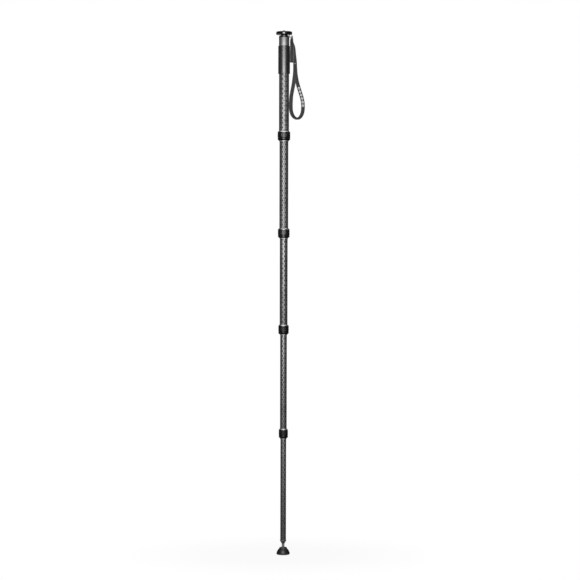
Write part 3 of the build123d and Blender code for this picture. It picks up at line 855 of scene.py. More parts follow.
class Shape(Tree):
    """A geometry tree with named inputs for its sizes, its counts and its finish."""

    def __init__(self, name, sizes, counts=()):
        self.group = bpy.data.node_groups.new(name, "GeometryNodeTree")
        super().__init__(self.group)
        inputs = {**dict.fromkeys(sizes, "Float"), **dict.fromkeys(counts, "Int"), "Finish": "Material"}
        face = self.group.interface
        face.new_socket("Geometry", in_out="INPUT", socket_type="NodeSocketGeometry")
        self.keys = {
            title: face.new_socket(title, in_out="INPUT", socket_type=f"NodeSocket{kind}").identifier
            for title, kind in inputs.items()
        }
        face.new_socket("Geometry", in_out="OUTPUT", socket_type="NodeSocketGeometry")
        self.given = self.nodes.new("NodeGroupInput")

    def input(self, title):
        return Socket(self, self.find(self.given.outputs, title))

    def move(self, geometry, offset, selection=True):
        sockets = {"Geometry": geometry, "Selection": selection, "Offset": offset}
        return self.node("GeometryNodeSetPosition", sockets=sockets)

    def copies(self, points, instance, **more):
        """Copies of one geometry on points."""
        sockets = {"Points": points, "Instance": instance, **more}
        return self.node("GeometryNodeInstanceOnPoints", sockets=sockets)

    def sweep(self, section, path, scale=1.0):
        """A closed body from a section carried along a path."""
        sockets = {"Curve": path, "Profile Curve": section, "Scale": scale, "Fill Caps": True}
        return self.node("GeometryNodeCurveToMesh", sockets=sockets)

    def store(self, geometry, name, value, kind="FLOAT", domain="POINT"):
        settings = {"data_type": kind, "domain": domain}
        sockets = {"Geometry": geometry, "Name": name, "Value": value}
        return self.node("GeometryNodeStoreNamedAttribute", settings, sockets)

    def stored(self, name, kind="FLOAT"):
        return self.node("GeometryNodeInputNamedAttribute", {"data_type": kind}, {"Name": name})

    def end(self, geometry):
        """Makes the result real, gives it its finish and hands it out."""
        real = self.node("GeometryNodeRealizeInstances", sockets={0: geometry})
        sockets = {"Geometry": real, "Material": self.input("Finish")}
        done = self.node("GeometryNodeSetMaterial", sockets=sockets)
        self.node("NodeGroupOutput", sockets={0: done})

    def grow(self, name, inputs, base=None):
        """Runs the tree on a base piece or on nothing, and keeps the plain mesh."""
        piece = base or place_object(name, bpy.data.meshes.new(name))
        modifier = piece.modifiers.new("shape", "NODES")
        modifier.node_group = self.group
        for title, value in inputs.items():
            modifier[self.keys[title]] = value
        settle(piece)
        piece.data.materials.clear()
        piece.data.materials.append(inputs["Finish"])
        return piece


def fluting_shape():
    """Presses flutes into the outer skin of a turned band, running out at both ends."""
    sizes = ("Count", "Pitch", "Width", "Depth", "Bottom", "Top", "Runout", "Skin")
    tree = Shape("fluting", sizes)
    x, y, height = tree.parts(tree.node("GeometryNodeInputPosition"))
    radius = tree.from_axis(x, y)
    turn = tree.maths("ARCTAN2", y, x) / FULL_TURN
    off_centre = ((turn * tree.input("Count") + 0.5).fract() - 0.5) * tree.input("Pitch")
    reach = (off_centre / tree.input("Width") * 2) ** 2
    dip = tree.maths("SQRT", tree.maths("MAXIMUM", 1 - reach, 0.0))
    runout = tree.input("Runout")
    rise = height.ramp(tree.input("Bottom"), tree.input("Bottom") + runout)
    fall = 1 - height.ramp(tree.input("Top") - runout, tree.input("Top"))
    inward = dip * rise * fall * tree.input("Depth") * -1
    offset = tree.vector(x / radius * inward, y / radius * inward, 0.0)
    skin = tree.maths("GREATER_THAN", radius, tree.input("Skin"))
    tree.end(tree.move(tree.input("Geometry"), offset, skin))
    return tree


def thread_shape():
    """A screw thread: a kite section swept along a helix, run out thin at both ends."""
    sizes = ("Radius", "Pitch", "Depth", "Length", "Bottom")
    tree = Shape("screw_thread", sizes)
    root = tree.input("Radius") - tree.input("Depth")
    sockets = {
        "Resolution": thread_steps, "Rotations": tree.input("Length") / tree.input("Pitch"),
        "Start Radius": root, "End Radius": root, "Height": tree.input("Length"),
    }
    helix = tree.node("GeometryNodeCurveSpiral", sockets=sockets)
    helix = tree.node("GeometryNodeSetCurveNormal", {"mode": "Z_UP"}, {"Curve": helix})
    share = tree.node("GeometryNodeSplineParameter", output="Factor")
    start, end = thread_runout_share, 1 - thread_runout_share
    thinning = share.ramp(0.0, start) * (1 - share.ramp(end, 1.0))
    half_width = tree.input("Depth")
    half_height = tree.input("Pitch") * (thread_base_share / 2)
    sockets = {"Width": half_width * 2, "Height": half_height * 2}
    ridge = tree.node("GeometryNodeCurvePrimitiveQuadrilateral", {"mode": "RECTANGLE"}, sockets)
    corner = tree.node("GeometryNodeInputIndex")
    # The section's four points become a kite: crest outward, root inward, flanks between
    crest = tree.maths("COMPARE", corner, 0.0, 0.1) - tree.maths("COMPARE", corner, 2.0, 0.1)
    flank = tree.maths("COMPARE", corner, 1.0, 0.1) - tree.maths("COMPARE", corner, 3.0, 0.1)
    kite = tree.vector(crest * half_width, flank * half_height, 0.0)
    ridge = tree.node("GeometryNodeSetPosition", sockets={"Geometry": ridge, "Position": kite})
    swept = tree.sweep(ridge, helix, thinning)
    tree.end(tree.move(swept, tree.vector(0.0, 0.0, tree.input("Bottom"))))
    return tree


def ring_of_screws_shape():
    """Sets copies of one screw on the points of a circle."""
    tree = Shape("ring_of_screws", ["Circle"], ["Count"])
    sockets = {"Vertices": tree.input("Count"), "Radius": tree.input("Circle")}
    points = tree.node("GeometryNodeMeshCircle", sockets=sockets)
    tree.end(tree.copies(points, tree.input("Geometry")))
    return tree


def route_of(tree):
    """The strap's route as a smooth curve of even steps, with its width direction squared up."""
    route = tree.node("GeometryNodeMeshToCurve", sockets={"Mesh": tree.input("Geometry")})
    settings = {"spline_type": "CATMULL_ROM"}
    route = tree.node("GeometryNodeCurveSplineType", settings, {"Curve": route})
    sockets = {"Curve": route, "Length": tree.input("Step")}
    route = tree.node("GeometryNodeResampleCurve", {"mode": "LENGTH"}, sockets)
    across = tree.stored("across", "FLOAT_VECTOR")
    tangent = tree.node("GeometryNodeInputTangent")
    slip = tree.vector_maths("DOT_PRODUCT", across, tangent, output="Value")
    along = tree.scaled(tangent, slip)
    square = tree.vector_maths("NORMALIZE", tree.vector_maths("SUBTRACT", across, along))
    return route, square, tangent


def webbing_shape():
    """Sweeps flat webbing with soft selvedges along a route, and maps its weave in metres."""
    sizes = ("Width", "Thickness", "Selvedge", "Step")
    tree = Shape("webbing", sizes)
    route, square, _ = route_of(tree)
    sockets = {"Curve": route, "Normal": square}
    route = tree.node("GeometryNodeSetCurveNormal", {"mode": "FREE"}, sockets)
    length = tree.node("GeometryNodeSplineParameter", output="Length")
    route = tree.store(route, "along", length)
    sockets = {"Width": tree.input("Width"), "Height": tree.input("Thickness")}
    section = tree.node("GeometryNodeCurvePrimitiveQuadrilateral", sockets=sockets)
    sockets = {"Curve": section, "Radius": tree.input("Selvedge"), "Count": edge_steps}
    section = tree.node("GeometryNodeFilletCurve", {"mode": "POLY"}, sockets)
    place, _, _ = tree.parts(tree.node("GeometryNodeInputPosition"))
    band = tree.sweep(tree.store(section, "over", place), route)
    weave = tree.vector(tree.stored("over"), tree.stored("along"), 0.0)
    tree.end(tree.store(band, "weave", weave, "FLOAT2", "CORNER"))
    return tree


def bead_of(tree):
    """A small ball, to be stretched into a stitch."""
    sockets = {"Segments": 8, "Rings": 6, "Radius": 1.0}
    return tree.node("GeometryNodeMeshUVSphere", sockets=sockets)


def running_stitch_shape():
    """A row of stitches along part of a route, beside its middle and on one face."""
    sizes = ("Step", "Start", "End", "Beside", "Lift", "Pitch", "Stitch", "Thread")
    tree = Shape("running_stitch", sizes)
    route, square, tangent = route_of(tree)
    face = tree.vector_maths("CROSS_PRODUCT", square, tangent)
    beside = tree.scaled(square, tree.input("Beside"))
    lift = tree.scaled(face, tree.input("Lift"))
    row = tree.move(route, tree.vector_maths("ADD", beside, lift))
    sockets = {"Curve": row, "Start_001": tree.input("Start"), "End_001": tree.input("End")}
    row = tree.node("GeometryNodeTrimCurve", {"mode": "LENGTH"}, sockets)
    sockets = {"Curve": row, "Length": tree.input("Pitch")}
    dots = tree.node("GeometryNodeCurveToPoints", {"mode": "LENGTH"}, sockets)
    size = tree.vector(tree.input("Thread"), tree.input("Thread"), tree.input("Stitch") / 2)
    tree.end(tree.copies(dots, bead_of(tree), Rotation=dots.twin("Rotation"), Scale=size))
    return tree


def bar_tack_shape():
    """Bar tacks at given points: close upright threads across two lengthwise ones."""
    sizes = ("Length", "Height", "Thread")
    tree = Shape("bar_tack", sizes, ["Threads"])
    thread = tree.input("Thread")
    bead = bead_of(tree)
    length, height = tree.input("Length"), tree.input("Height")
    spacing = (length - thread * 2) / (tree.input("Threads") - 1)
    sockets = {
        "Count": tree.input("Threads"),
        "Start Location": tree.vector(thread - length / 2, 0.0, 0.0),
        "Offset": tree.vector(spacing, 0.0, 0.0),
    }
    row = tree.node("GeometryNodeMeshLine", sockets=sockets)
    uprights = tree.copies(row, bead, Scale=tree.vector(thread, thread, height / 2))
    sockets = {
        "Count": 2, "Start Location": tree.vector(0.0, 0.0, height * -tack_rail_share),
        "Offset": tree.vector(0.0, 0.0, height * (2 * tack_rail_share)),
    }
    rails = tree.node("GeometryNodeMeshLine", sockets=sockets)
    lengthwise = tree.copies(rails, bead, Scale=tree.vector(length / 2, thread, thread))
    tack = tree.node("GeometryNodeJoinGeometry", sockets={0: [uprights, lengthwise]})
    tree.end(tree.copies(tree.input("Geometry"), tack))
    return tree


# Tubes

def make_tube(number):
    node = f"tube_{number}"
    tube = Span(node)
    bore = tube.radius - tube_walls[number - 1]
    cells = round(FULL_TURN * tube.radius / braid_width)
    ease = tube_end_ease
    piece = turned(f"braided_tube_{number}", [
        (bore, tube.low, ease),
        (tube.radius, tube.low, ease),
        (tube.radius, tube.high, ease),
        (bore, tube.high, ease),
    ], braid_cells=cells)
    if number > 1:
        shims = Span(f"tube_shims_{number}")
        middle = AXIS * ((shims.low + shims.high) / 2)
        reach = Vector((2 * tube.radius, 0, 0))
        cut(piece, bar(pin_hole_radius, middle - reach, middle + reach))
    seat(piece, node)


# Twist locks

def make_lock(number):
    collar, nut, band, wiper = (
        Span(f"lock_{part}_{number}") for part in ("collar", "nut", "grip", "wiper")
    )
    upper = Span(f"tube_{number}").radius
    lower = Span(f"tube_{number + 1}").radius
    thread = upper + thread_wall
    mouth = lower + nut_mouth
    side = band.radius - rubber_thickness
    rim = nut.radius
    cone_foot = wiper.low + collet_base_height
    taper_top = band.low + taper_rise
    taper_foot = wiper.low + pale_ring_height
    cone_top = collar.low - free_gap - collet_head_height
    chamfer_foot = collar.high - collar_chamfer_height
    make_turned(f"lock_collar_{number}", f"machined_collar_{number}", [
        (upper, collar.low, 0),
        (thread, collar.low, nut_edge),
        (thread, chamfer_foot - collar_rim_height, 0),
        (collar.radius, chamfer_foot - collar_rim_height, nut_edge),
        (collar.radius, chamfer_foot, nut_edge),
        (upper + collar_top_lip, collar.high, nut_edge),
        (upper, collar.high, 0),
    ])
    make_turned(f"lock_nut_{number}", f"threaded_nut_{number}", [
        (mouth, taper_foot, 0),
        (lower + taper_lip, taper_foot, nut_edge),
        (rim, taper_top - nut_edge * 3, nut_edge),
        (rim, taper_top, nut_edge / 2),
        (side, taper_top, 0),
        (side, nut.high - nut_rim_height, 0),
        (rim, nut.high - nut_rim_height, nut_edge),
        (rim, nut.high, nut_edge),
        (thread + running_fit, nut.high, nut_edge),
        (thread + running_fit, collar.low - free_gap, 0),
        (upper, collar.low - free_gap, 0),
        (upper, cone_top, 0),
        (mouth, cone_foot, 0),
    ])
    make_turned(f"lock_wiper_{number}", f"wiper_ring_{number}", [
        (lower + wiper_fit, wiper.low, 0),
        (lower + wiper_lip, wiper.low, wiper_edge),
        (lower + taper_lip, taper_foot, wiper_edge),
        (mouth, taper_foot, 0),
        (mouth, nut.low + wiper_spigot_height, 0),
        (lower + wiper_fit, nut.low + wiper_spigot_height, 0),
    ])
    make_band(number, band, side, taper_top)


def make_band(number, band, side, foot):
    """Rubber band of a lock, with a groove round its waist and flutes above the groove."""
    groove = band.low + groove_height
    bottom = groove + groove_width + flute_inset
    top = band.high - flute_inset
    count = round(FULL_TURN * band.radius / flute_pitch)
    heights = [bottom + (top - bottom) * step / flute_rows for step in range(flute_rows + 1)]
    piece = turned(f"fluted_band_{number}", [
        (side, foot, 0),
        (band.radius, foot, rubber_edge),
        (band.radius, groove, groove_depth / 3),
        (band.radius - groove_depth, groove + groove_width / 2, groove_depth / 4),
        (band.radius, groove + groove_width, groove_depth / 3),
        *((band.radius, height, 0) for height in heights),
        (band.radius, band.high, rubber_edge),
        (side, band.high, 0),
    ], facets=count * facets_per_flute)
    sizes = {
        "Count": float(count), "Pitch": FULL_TURN * band.radius / count, "Width": flute_width,
        "Depth": flute_depth, "Bottom": bottom - flute_runout / 2, "Top": top + flute_runout / 2,
        "Runout": flute_runout, "Skin": band.radius - groove_depth / 2,
        "Finish": finishes["lock_rubber"],
    }
    seat(fluting.grow(piece.name, sizes, piece), f"lock_grip_{number}")


# Grip and upper end

def make_grip():
    grip = Span("grip_sleeve")
    tube = Span("tube_1").radius
    skin = grip.radius - grip_lip_depth
    make_turned("grip_sleeve", "rubber_sleeve", [
        (tube, grip.low, 0),
        (grip.radius, grip.low, grip_lip_depth),
        (grip.radius, grip.low + grip_lip_height - grip_lip_depth, grip_lip_depth),
        (skin, grip.low + grip_lip_height, grip_lip_depth),
        (skin, grip.high, grip_edge),
        (tube, grip.high, 0),
    ])


def make_top_collar():
    collar = Span("top_collar")
    tube = Span("tube_1").radius
    make_turned("top_collar", "aluminium_collar", [
        (tube, collar.low, 0),
        (collar.radius, collar.low, collar_edge),
        (collar.radius, collar.high, collar_edge),
        (tube, collar.high, 0),
    ])


def make_cap():
    cap = Span("top_cap")
    disc = Span("platform_disc")
    shoulder = Span("top_collar").high
    bore = Span("tube_1").radius - tube_walls[0]
    stud = Span("camera_stud")
    shoulder_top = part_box("strap_ring")[1].z - ring_thickness - running_fit
    hole = stud_thick_radius + running_fit
    make_turned("top_cap", "black_cap", [
        (0, shoulder - cap_plug_depth, 0),
        (bore, shoulder - cap_plug_depth, cap_plug_edge),
        (bore, shoulder, 0),
        (cap.radius, shoulder, cap_edge),
        (cap.radius, shoulder_top, shoulder_edge),
        (neck_radius, shoulder_top, neck_ease),
        (neck_radius, disc.low, cap_edge),
        (spigot_radius, disc.low, 0),
        (spigot_radius, cap.high, cap_edge),
        (hole, cap.high, cap_edge),
        (hole, stud.low - stud_hole_spare, 0),
        (0, stud.low - stud_hole_spare, 0),
    ])


def make_disc():
    disc = Span("platform_disc")
    pad = Span("platform_pad")
    groove = disc.low + disc_rim_groove_height
    half = disc_rim_groove_width / 2
    stud_hole = stud_thick_radius + free_gap
    collar_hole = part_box("camera_stud")[1].y + free_gap
    floor = disc.high - pad_recess_depth
    collar_seat = pad.low - stud_collar_height - running_fit
    corner = disc_edge / 2
    piece = turned("platform_plate", [
        (spigot_radius, disc.low, 0),
        (disc.radius - disc_edge, disc.low, corner),
        (disc.radius, disc.low + disc_edge, corner),
        (disc.radius, groove - half, half / 3),
        (disc.radius - disc_rim_groove_depth, groove, half / 4),
        (disc.radius, groove + half, half / 3),
        (disc.radius, disc.high - disc_edge, corner),
        (disc.radius - disc_edge, disc.high, 0),
        (pad.radius, disc.high, 0),
        (pad.radius, floor, 0),
        (collar_hole, floor, 0),
        (collar_hole, collar_seat, 0),
        (stud_hole, collar_seat, 0),
        (stud_hole, disc.low + spigot_height, 0),
        (spigot_radius, disc.low + spigot_height, 0),
    ], facets=wide_turns)
    cutters = screw_holes(disc.low, floor)
    rim_height = AXIS * (disc.low + rim_screw_height)
    edge = Vector((0, -disc.radius - cut_over, 0))
    seat_end = Vector((0, -disc.radius + rim_screw_sink + rim_screw_head_length, 0))
    shank_end = Vector((0, -spigot_radius, 0))
    cutters.append(bar(rim_screw_head, rim_height + edge, rim_height + seat_end))
    cutters.append(bar(rim_screw_shank, rim_height + edge, rim_height + shank_end))
    seat(cut(piece, *cutters), "platform_disc")


def screw_holes(low, high):
    """Cutters for the set screws' holes between two heights."""
    turns = [FULL_TURN * k / screw_count for k in range(screw_count)]
    points = [Vector((screw_circle * cos(a), screw_circle * sin(a), 0)) for a in turns]
    start, end = AXIS * (low - cut_over), AXIS * (high + cut_over)
    return [bar(set_screw_radius, point + start, point + end) for point in points]


def make_pad():
    pad = Span("platform_pad")
    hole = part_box("camera_stud")[1].y + free_gap
    piece = turned("pebbled_pad", [
        (hole, pad.low, 0),
        (pad.radius, pad.low, 0),
        (pad.radius, pad.high, pad_edge),
        (hole, pad.high, pad_edge),
    ], facets=wide_turns)
    seat(cut(piece, *screw_holes(pad.low, pad.high)), "platform_pad")


def make_set_screws():
    screws = Span("set_screws")
    one = turned("set_screw_ring", [
        (0, screws.low, 0),
        (set_screw_radius - running_fit / 2, screws.low, screw_edge),
        (set_screw_radius - running_fit / 2, screws.high, screw_edge),
        (0, screws.high, 0),
    ], facets=set_screw_turns)
    start, floor = AXIS * (screws.low - cut_over), AXIS * (screws.low + set_screw_hex_depth)
    cut(one, hex_bar(set_screw_hex, start, floor))
    sizes = {"Count": screw_count, "Circle": screw_circle, "Finish": finishes["black_steel"]}
    seat(ring_of_screws.grow(one.name, sizes, one), "set_screws")


def make_rim_screw():
    low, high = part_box("platform_screw")
    head = low.y
    height = AXIS * ((low.z + high.z) / 2)
    piece = turned("rim_screw", [
        (0, -high.y, 0),
        (rim_screw_shank, -high.y, screw_edge),
        (rim_screw_shank, -head - rim_screw_head_length, 0),
        (rim_screw_head - running_fit / 2, -head - rim_screw_head_length, 0),
        (rim_screw_head - running_fit / 2, -head, screw_edge),
        (0, -head, 0),
    ], facets=screw_turns)
    socket_floor = AXIS * (-head - rim_screw_hex_depth)
    cut(piece, hex_bar(rim_screw_hex, socket_floor, AXIS * (-head + cut_over)))
    piece.data.materials.clear()
    for material in (finishes["steel"], finishes["black_steel"]):
        piece.data.materials.append(material)
    hex_corner = rim_screw_hex / 2 / cos(pi / 6)
    for face in piece.data.polygons:
        deep = socket_floor.z - screw_edge < face.center.z < -head - screw_edge
        face.material_index = int(deep and face.center.xy.length < hex_corner)
    for vert in piece.data.vertices:
        vert.co = Vector((vert.co.x, -vert.co.z, vert.co.y)) + height
    piece.data.update()
    seat(piece, "platform_screw")


def make_stud():
    low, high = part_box("camera_stud")
    pad = Span("platform_pad")
    collar_low = pad.low - stud_collar_height
    thin_root = stud_thin_radius - stud_thin_pitch * thread_depth_share
    thick_root = stud_thick_radius - stud_thick_pitch * thread_depth_share
    core = turned("camera_screw_core", [
        (0, low.z, 0),
        (thick_root, low.z, stud_end / 2),
        (thick_root, collar_low, 0),
        (high.y, collar_low, screw_edge),
        (high.y, pad.low, screw_edge),
        (thin_root, pad.low, 0),
        (thin_root, high.z, stud_end / 2),
        (0, high.z, 0),
    ], facets=stud_turns)
    cut(core, hex_bar(stud_hex, AXIS * (low.z - cut_over), AXIS * (low.z + stud_hex)))
    thin = make_thread("thin_thread", stud_thin_radius, stud_thin_pitch, pad.low, high.z)
    thick = make_thread("thick_thread", stud_thick_radius, stud_thick_pitch, low.z, collar_low)
    seat(joined("camera_screw", core, thin, thick), "camera_stud")


def make_thread(name, radius, pitch, low, high):
    """A thread between two heights, half a pitch clear of both."""
    return screw_thread.grow(name, {
        "Radius": radius, "Pitch": pitch, "Depth": pitch * thread_depth_share,
        "Length": high - low - pitch, "Bottom": low + pitch / 2,
        "Finish": finishes["steel"],
    })


def joined(name, *pieces):
    """One piece from several, with the last one's finish."""
    shape = bmesh.new()
    for piece in pieces:
        shape.from_mesh(piece.data)
    mesh = mesh_of(name, shape)
    mesh.materials.append(pieces[-1].data.materials[0])
    for piece in pieces:
        bpy.data.objects.remove(piece)
    return place_object(name, mesh)


def make_strap_ring():
    """The bent steel ring: the frame's own shape with its edges broken."""
    source = frame["nodes"]["strap_ring"]
    shape = bmesh.new()
    shape.from_mesh(source.data)
    bmesh.ops.remove_doubles(shape, verts=shape.verts, dist=merge_distance)
    bmesh.ops.dissolve_limit(shape, angle_limit=flat_angle, verts=shape.verts, edges=shape.edges)
    piece = place_object("bent_ring", mesh_of("bent_ring", shape))
    bevel = piece.modifiers.new("break_edges", "BEVEL")
    bevel.width = ring_edge
    bevel.segments = ring_edge_steps
    bevel.limit_method = "ANGLE"
    bevel.angle_limit = corner_angle
    bevel.harden_normals = False
    settle(piece).data.materials.append(turned_steel("dull_steel", 0.12))
    seat(piece, "strap_ring")


# Wrist strap

# Shares of the reach, of the lean and of the fold's radius, and degrees turned
hanger_shares = [
    (1.0, 1.0, 1.0, 0),
    (0.8, 1.0, 1.0, 0),
    (0.6, 1.0, 1.0, 0),
    (0.43, 0.9, 0.85, 6),
    (0.34, 0.55, 0.8, 15),
    (0.28, 0.2, 0.85, 22),
    (0.22, -0.1, 0.9, 28),
    (0.165, -0.3, 0.9, 34),
    (0.11, -0.3, 0.85, 42),
    (0.06, -0.15, 0.8, 58),
    (0.0, 0.0, 1.0, 90),
]
fold_turns = 6

# Shares of the swing, of the drop and of the layers' distance, and degrees turned
loop_shares = [
    (0.14, 0.15, 1.0, 0),
    (0.2, 0.22, 1.0, 0),
    (0.265, 0.3, 1.0, 0),
    (0.28, 0.37, 1.0, 0),
    (0.265, 0.44, 1.0, 0),
    (0.21, 0.51, 1.0, 0),
    (0.135, 0.585, 0.8, 0),
    (0.035, 0.66, 0.6, 0),
    (-0.045, 0.725, 0.4, 0),
    (-0.075, 0.79, 0.2, 4),
    (-0.082, 0.85, 0.0, 4),
    (-0.055, 0.908, 0.0, 8),
    (0.07, 0.958, 0.0, 18),
    (0.265, 0.99, 0.0, 38),
    (0.48, 1.0, 0.0, 50),
    (0.69, 0.99, 0.0, 38),
    (0.87, 0.958, 0.0, 20),
    (0.97, 0.912, 0.0, 10),
    (1.0, 0.86, 0.0, 4),
    (0.975, 0.8, -0.2, 4),
    (0.885, 0.74, -0.4, 0),
    (0.74, 0.675, -0.6, 0),
    (0.58, 0.605, -0.8, 0),
    (0.44, 0.53, -1.0, 0),
    (0.35, 0.455, -1.0, 0),
    (0.305, 0.38, -1.0, 0),
    (0.28, 0.305, -1.0, 0),
    (0.215, 0.225, -1.0, 0),
    (0.16, 0.15, -1.0, 0),
]

ring_low, ring_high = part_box("strap_ring")
bar_x = ring_high.x - tab_bar_width / 2
bar_z = ring_low.z + tab_thickness / 2


def hanger_point(reach_share, lean_share, apart_share, turn, side):
    """Middle of the webbing on the run in front (side 1) or behind (side -1)."""
    spread = radians(turn)
    flat = 1 - sin(spread)
    x = bar_x + hanger_lean * lean_share - side * hanger_stagger * flat / 2
    apart = side * webbing_fold_radius * apart_share
    return Vector((x + apart * sin(spread), -apart * cos(spread), bar_z - hanger_reach * reach_share))


def hanger_route():
    """Points of the hanger's route and the direction of the webbing's width at each."""
    points, widths = [], []
    for *shares, turn in hanger_shares:
        points.append(hanger_point(*shares, turn, 1))
        widths.append(Vector((cos(radians(turn)), sin(radians(turn)), 0)))
    for step in range(1, fold_turns):
        bend = radians(180 * step / fold_turns)
        over = Vector((cos(bend), 0, sin(bend))) * webbing_fold_radius
        over += AXIS * webbing_fold_slack * sin(bend)
        points.append(Vector((bar_x, 0, bar_z)) + over)
        widths.append(Vector((0, 1, 0)))
    for *shares, turn in reversed(hanger_shares):
        points.append(hanger_point(*shares, turn, -1))
        widths.append(Vector((cos(radians(turn)), sin(radians(turn)), 0)))
    return points, widths


def loop_route():
    """Points of the loop's route and the direction of the webbing's width at each."""
    layer_offset = (webbing_thickness + webbing_layer_gap) / 2
    points = [
        Vector((bar_x + strap_swing * swing, layer_offset * layer, bar_z - strap_drop * drop))
        for swing, drop, layer, _ in loop_shares
    ]
    widths = []
    for k, (_, _, _, turn) in enumerate(loop_shares):
        along = points[min(k + 1, len(points) - 1)] - points[max(k - 1, 0)]
        inward = Vector((-along.z, 0, along.x)).normalized()
        widths.append(inward * cos(radians(turn)) + Vector((0, 1, 0)) * sin(radians(turn)))
    return points, widths


def route_mesh(name, route):
    """A line of points that carries the webbing's width direction."""
    points, widths = route
    mesh = bpy.data.meshes.new(name)
    mesh.from_pydata(points, [(k, k + 1) for k in range(len(points) - 1)], [])
    across = mesh.attributes.new("across", "FLOAT_VECTOR", "POINT")
    across.data.foreach_set("vector", [value for width in widths for value in width])
    return mesh


def motif_stretch(route):
    """How far along the loop's route the pale motif starts and ends, on the outer run."""
    points, _ = route
    start = end = length = 0.0
    low = bar_z - strap_drop * motif_low_share
    high = bar_z - strap_drop * motif_high_share
    for behind, point in zip(points, points[1:]):
        length += (point - behind).length
        rising = point.z > behind.z
        if rising and point.z <= low:
            start = length
        if rising and point.z <= high:
            end = length
    return start, end


def make_webbing(name, route, node, finish):
    sizes = {
        "Width": webbing_width, "Thickness": webbing_thickness, "Selvedge": webbing_selvedge,
        "Step": webbing_step, "Finish": finish,
    }
    base = place_object(name, route_mesh(name, route))
    seat(webbing.grow(name, sizes, base), node)


def make_sewing():
    """Bar tacks across the webbing, and stitches that hold the loop's two ends together."""
    hanger_face = webbing_fold_radius + webbing_thickness / 2
    loop_face = (webbing_thickness + webbing_layer_gap) / 2 + webbing_thickness / 2
    hanger_x = bar_x + hanger_lean
    hanger_z = bar_z - hanger_reach * hanger_tack_reach_share
    loop_x = bar_x + strap_swing * loop_tack_swing_share
    loop_z = bar_z - strap_drop * loop_tack_drop_share
    hanger_places = [
        (hanger_x - hanger_stagger / 2, -hanger_face, hanger_z),
        (hanger_x + hanger_stagger / 2, hanger_face, hanger_z),
    ]
    loop_places = [(loop_x, -loop_face, loop_z), (loop_x, loop_face, loop_z)]
    black_thread = sewing_thread("black_thread", 0.014, 0.035)
    grey_thread = finishes["strap_thread"]
    make_tacks("hanger_tacks", hanger_places, black_thread)
    make_tacks("loop_tacks", loop_places, grey_thread)
    route = loop_route()
    points, _ = route
    whole = sum((ahead - behind).length for behind, ahead in zip(points, points[1:]))
    rows = []
    for side in (-1, 1):
        for start, lift in ((0.0, 1), (whole - sewn_length, -1)):
            sizes = {
                "Step": webbing_step, "Start": start, "End": start + sewn_length,
                "Beside": (webbing_width / 2 - stitch_inset) * side,
                "Lift": webbing_thickness / 2 * lift,
                "Pitch": stitch_pitch, "Stitch": stitch_length, "Thread": thread_radius,
                "Finish": black_thread,
            }
            base = place_object("stitches", route_mesh("stitches", route))
            rows.append(running_stitch.grow("stitches", sizes, base))
    seat(joined("loop_stitches", *rows), "strap_bar_tacks")


def make_tacks(name, places, thread):
    mesh = bpy.data.meshes.new(name)
    mesh.from_pydata(places, [], [])
    sizes = {
        "Length": tack_length, "Height": tack_height, "Thread": thread_radius,
        "Threads": tack_threads, "Finish": thread,
    }
    seat(bar_tack.grow(name, sizes, place_object(name, mesh)), "strap_bar_tacks")


# Foot

def make_plug():
    plug = Span("foot_plug")
    bore = Span("tube_5").radius - tube_walls[-1]
    cone_top = plug.low + plug_cone_height
    flange_top = cone_top + plug_flange_height
    hole = shank_thread_radius + running_fit
    stud_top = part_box("ball_stud")[1].z + free_gap
    make_turned("foot_plug", "end_plug", [
        (hole, plug.low, 0),
        (plug_tip_radius, plug.low, plug_edge / 2),
        (plug.radius - plug_edge, cone_top, plug_edge),
        (plug.radius, cone_top + plug_edge, plug_edge / 2),
        (plug.radius, flange_top, plug_edge),
        (bore, flange_top, 0),
        (bore, plug.high, plug_end_edge),
        (0, plug.high, 0),
        (0, stud_top, 0),
        (hole, stud_top, 0),
    ])


def make_ball():
    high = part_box("ball_stud")[1]
    neck_angle = 90 - degrees(asin(shank_radius / ball_radius))
    tip = Span("foot_plug").low - running_fit
    make_turned("ball_stud", "ball_and_neck", [
        *arc(ball_height, ball_radius, -90, neck_angle, steps=ball_arc_steps),
        (shank_radius, tip, nut_edge),
        (shank_thread_radius, tip, 0),
        (shank_thread_radius, high.z, nut_edge),
        (0, high.z, 0),
    ], facets=ball_turns)


def make_retainer():
    retainer = Span("foot_retainer")
    inner = min(vert.co.xy.length for vert in frame["nodes"]["foot_retainer"].data.vertices)
    opening = 90 - degrees(asin(inner / liner_seat_radius))
    side = core_radius - core_wall
    make_turned("foot_retainer", "retainer_ring", [
        *arc(ball_height, liner_seat_radius, 0, opening),
        (retainer_flare_radius, retainer.high, retainer_edge),
        (retainer_top_radius, retainer.high, retainer_edge),
        (foot_top_radius - retainer_inset, core_top, 0),
        (side, core_top, 0),
        (side, ball_height, 0),
    ])


def make_foot():
    foot = Span("foot_pad")
    core_bottom = ball_height - liner_seat_radius - core_floor
    sole = foot_radius * foot_sole_share
    widest = (foot_radius, foot.high * foot_widest_share)
    bulge = (foot_radius * foot_bulge_share, foot.high * foot_bulge_height_share)
    dome = (foot_radius * foot_dome_share, foot.high * foot_dome_height_share)
    groove_out = sole_groove_radius + sole_groove_width / 2
    groove_in = sole_groove_radius - sole_groove_width / 2
    make_turned("foot_pad", "rubber_foot", [
        (0, core_bottom, 0),
        (0, 0, 0),
        (groove_in, 0, nut_edge),
        (groove_in, sole_groove_depth, 0),
        (groove_out, sole_groove_depth, 0),
        (groove_out, 0, nut_edge),
        *bow((sole, 0), bulge, widest),
        *bow(widest, dome, (foot_top_radius, foot.high))[1:],
        (core_radius, foot.high, 0),
        (core_radius, core_bottom, 0),
    ], facets=wide_turns)


# Studio

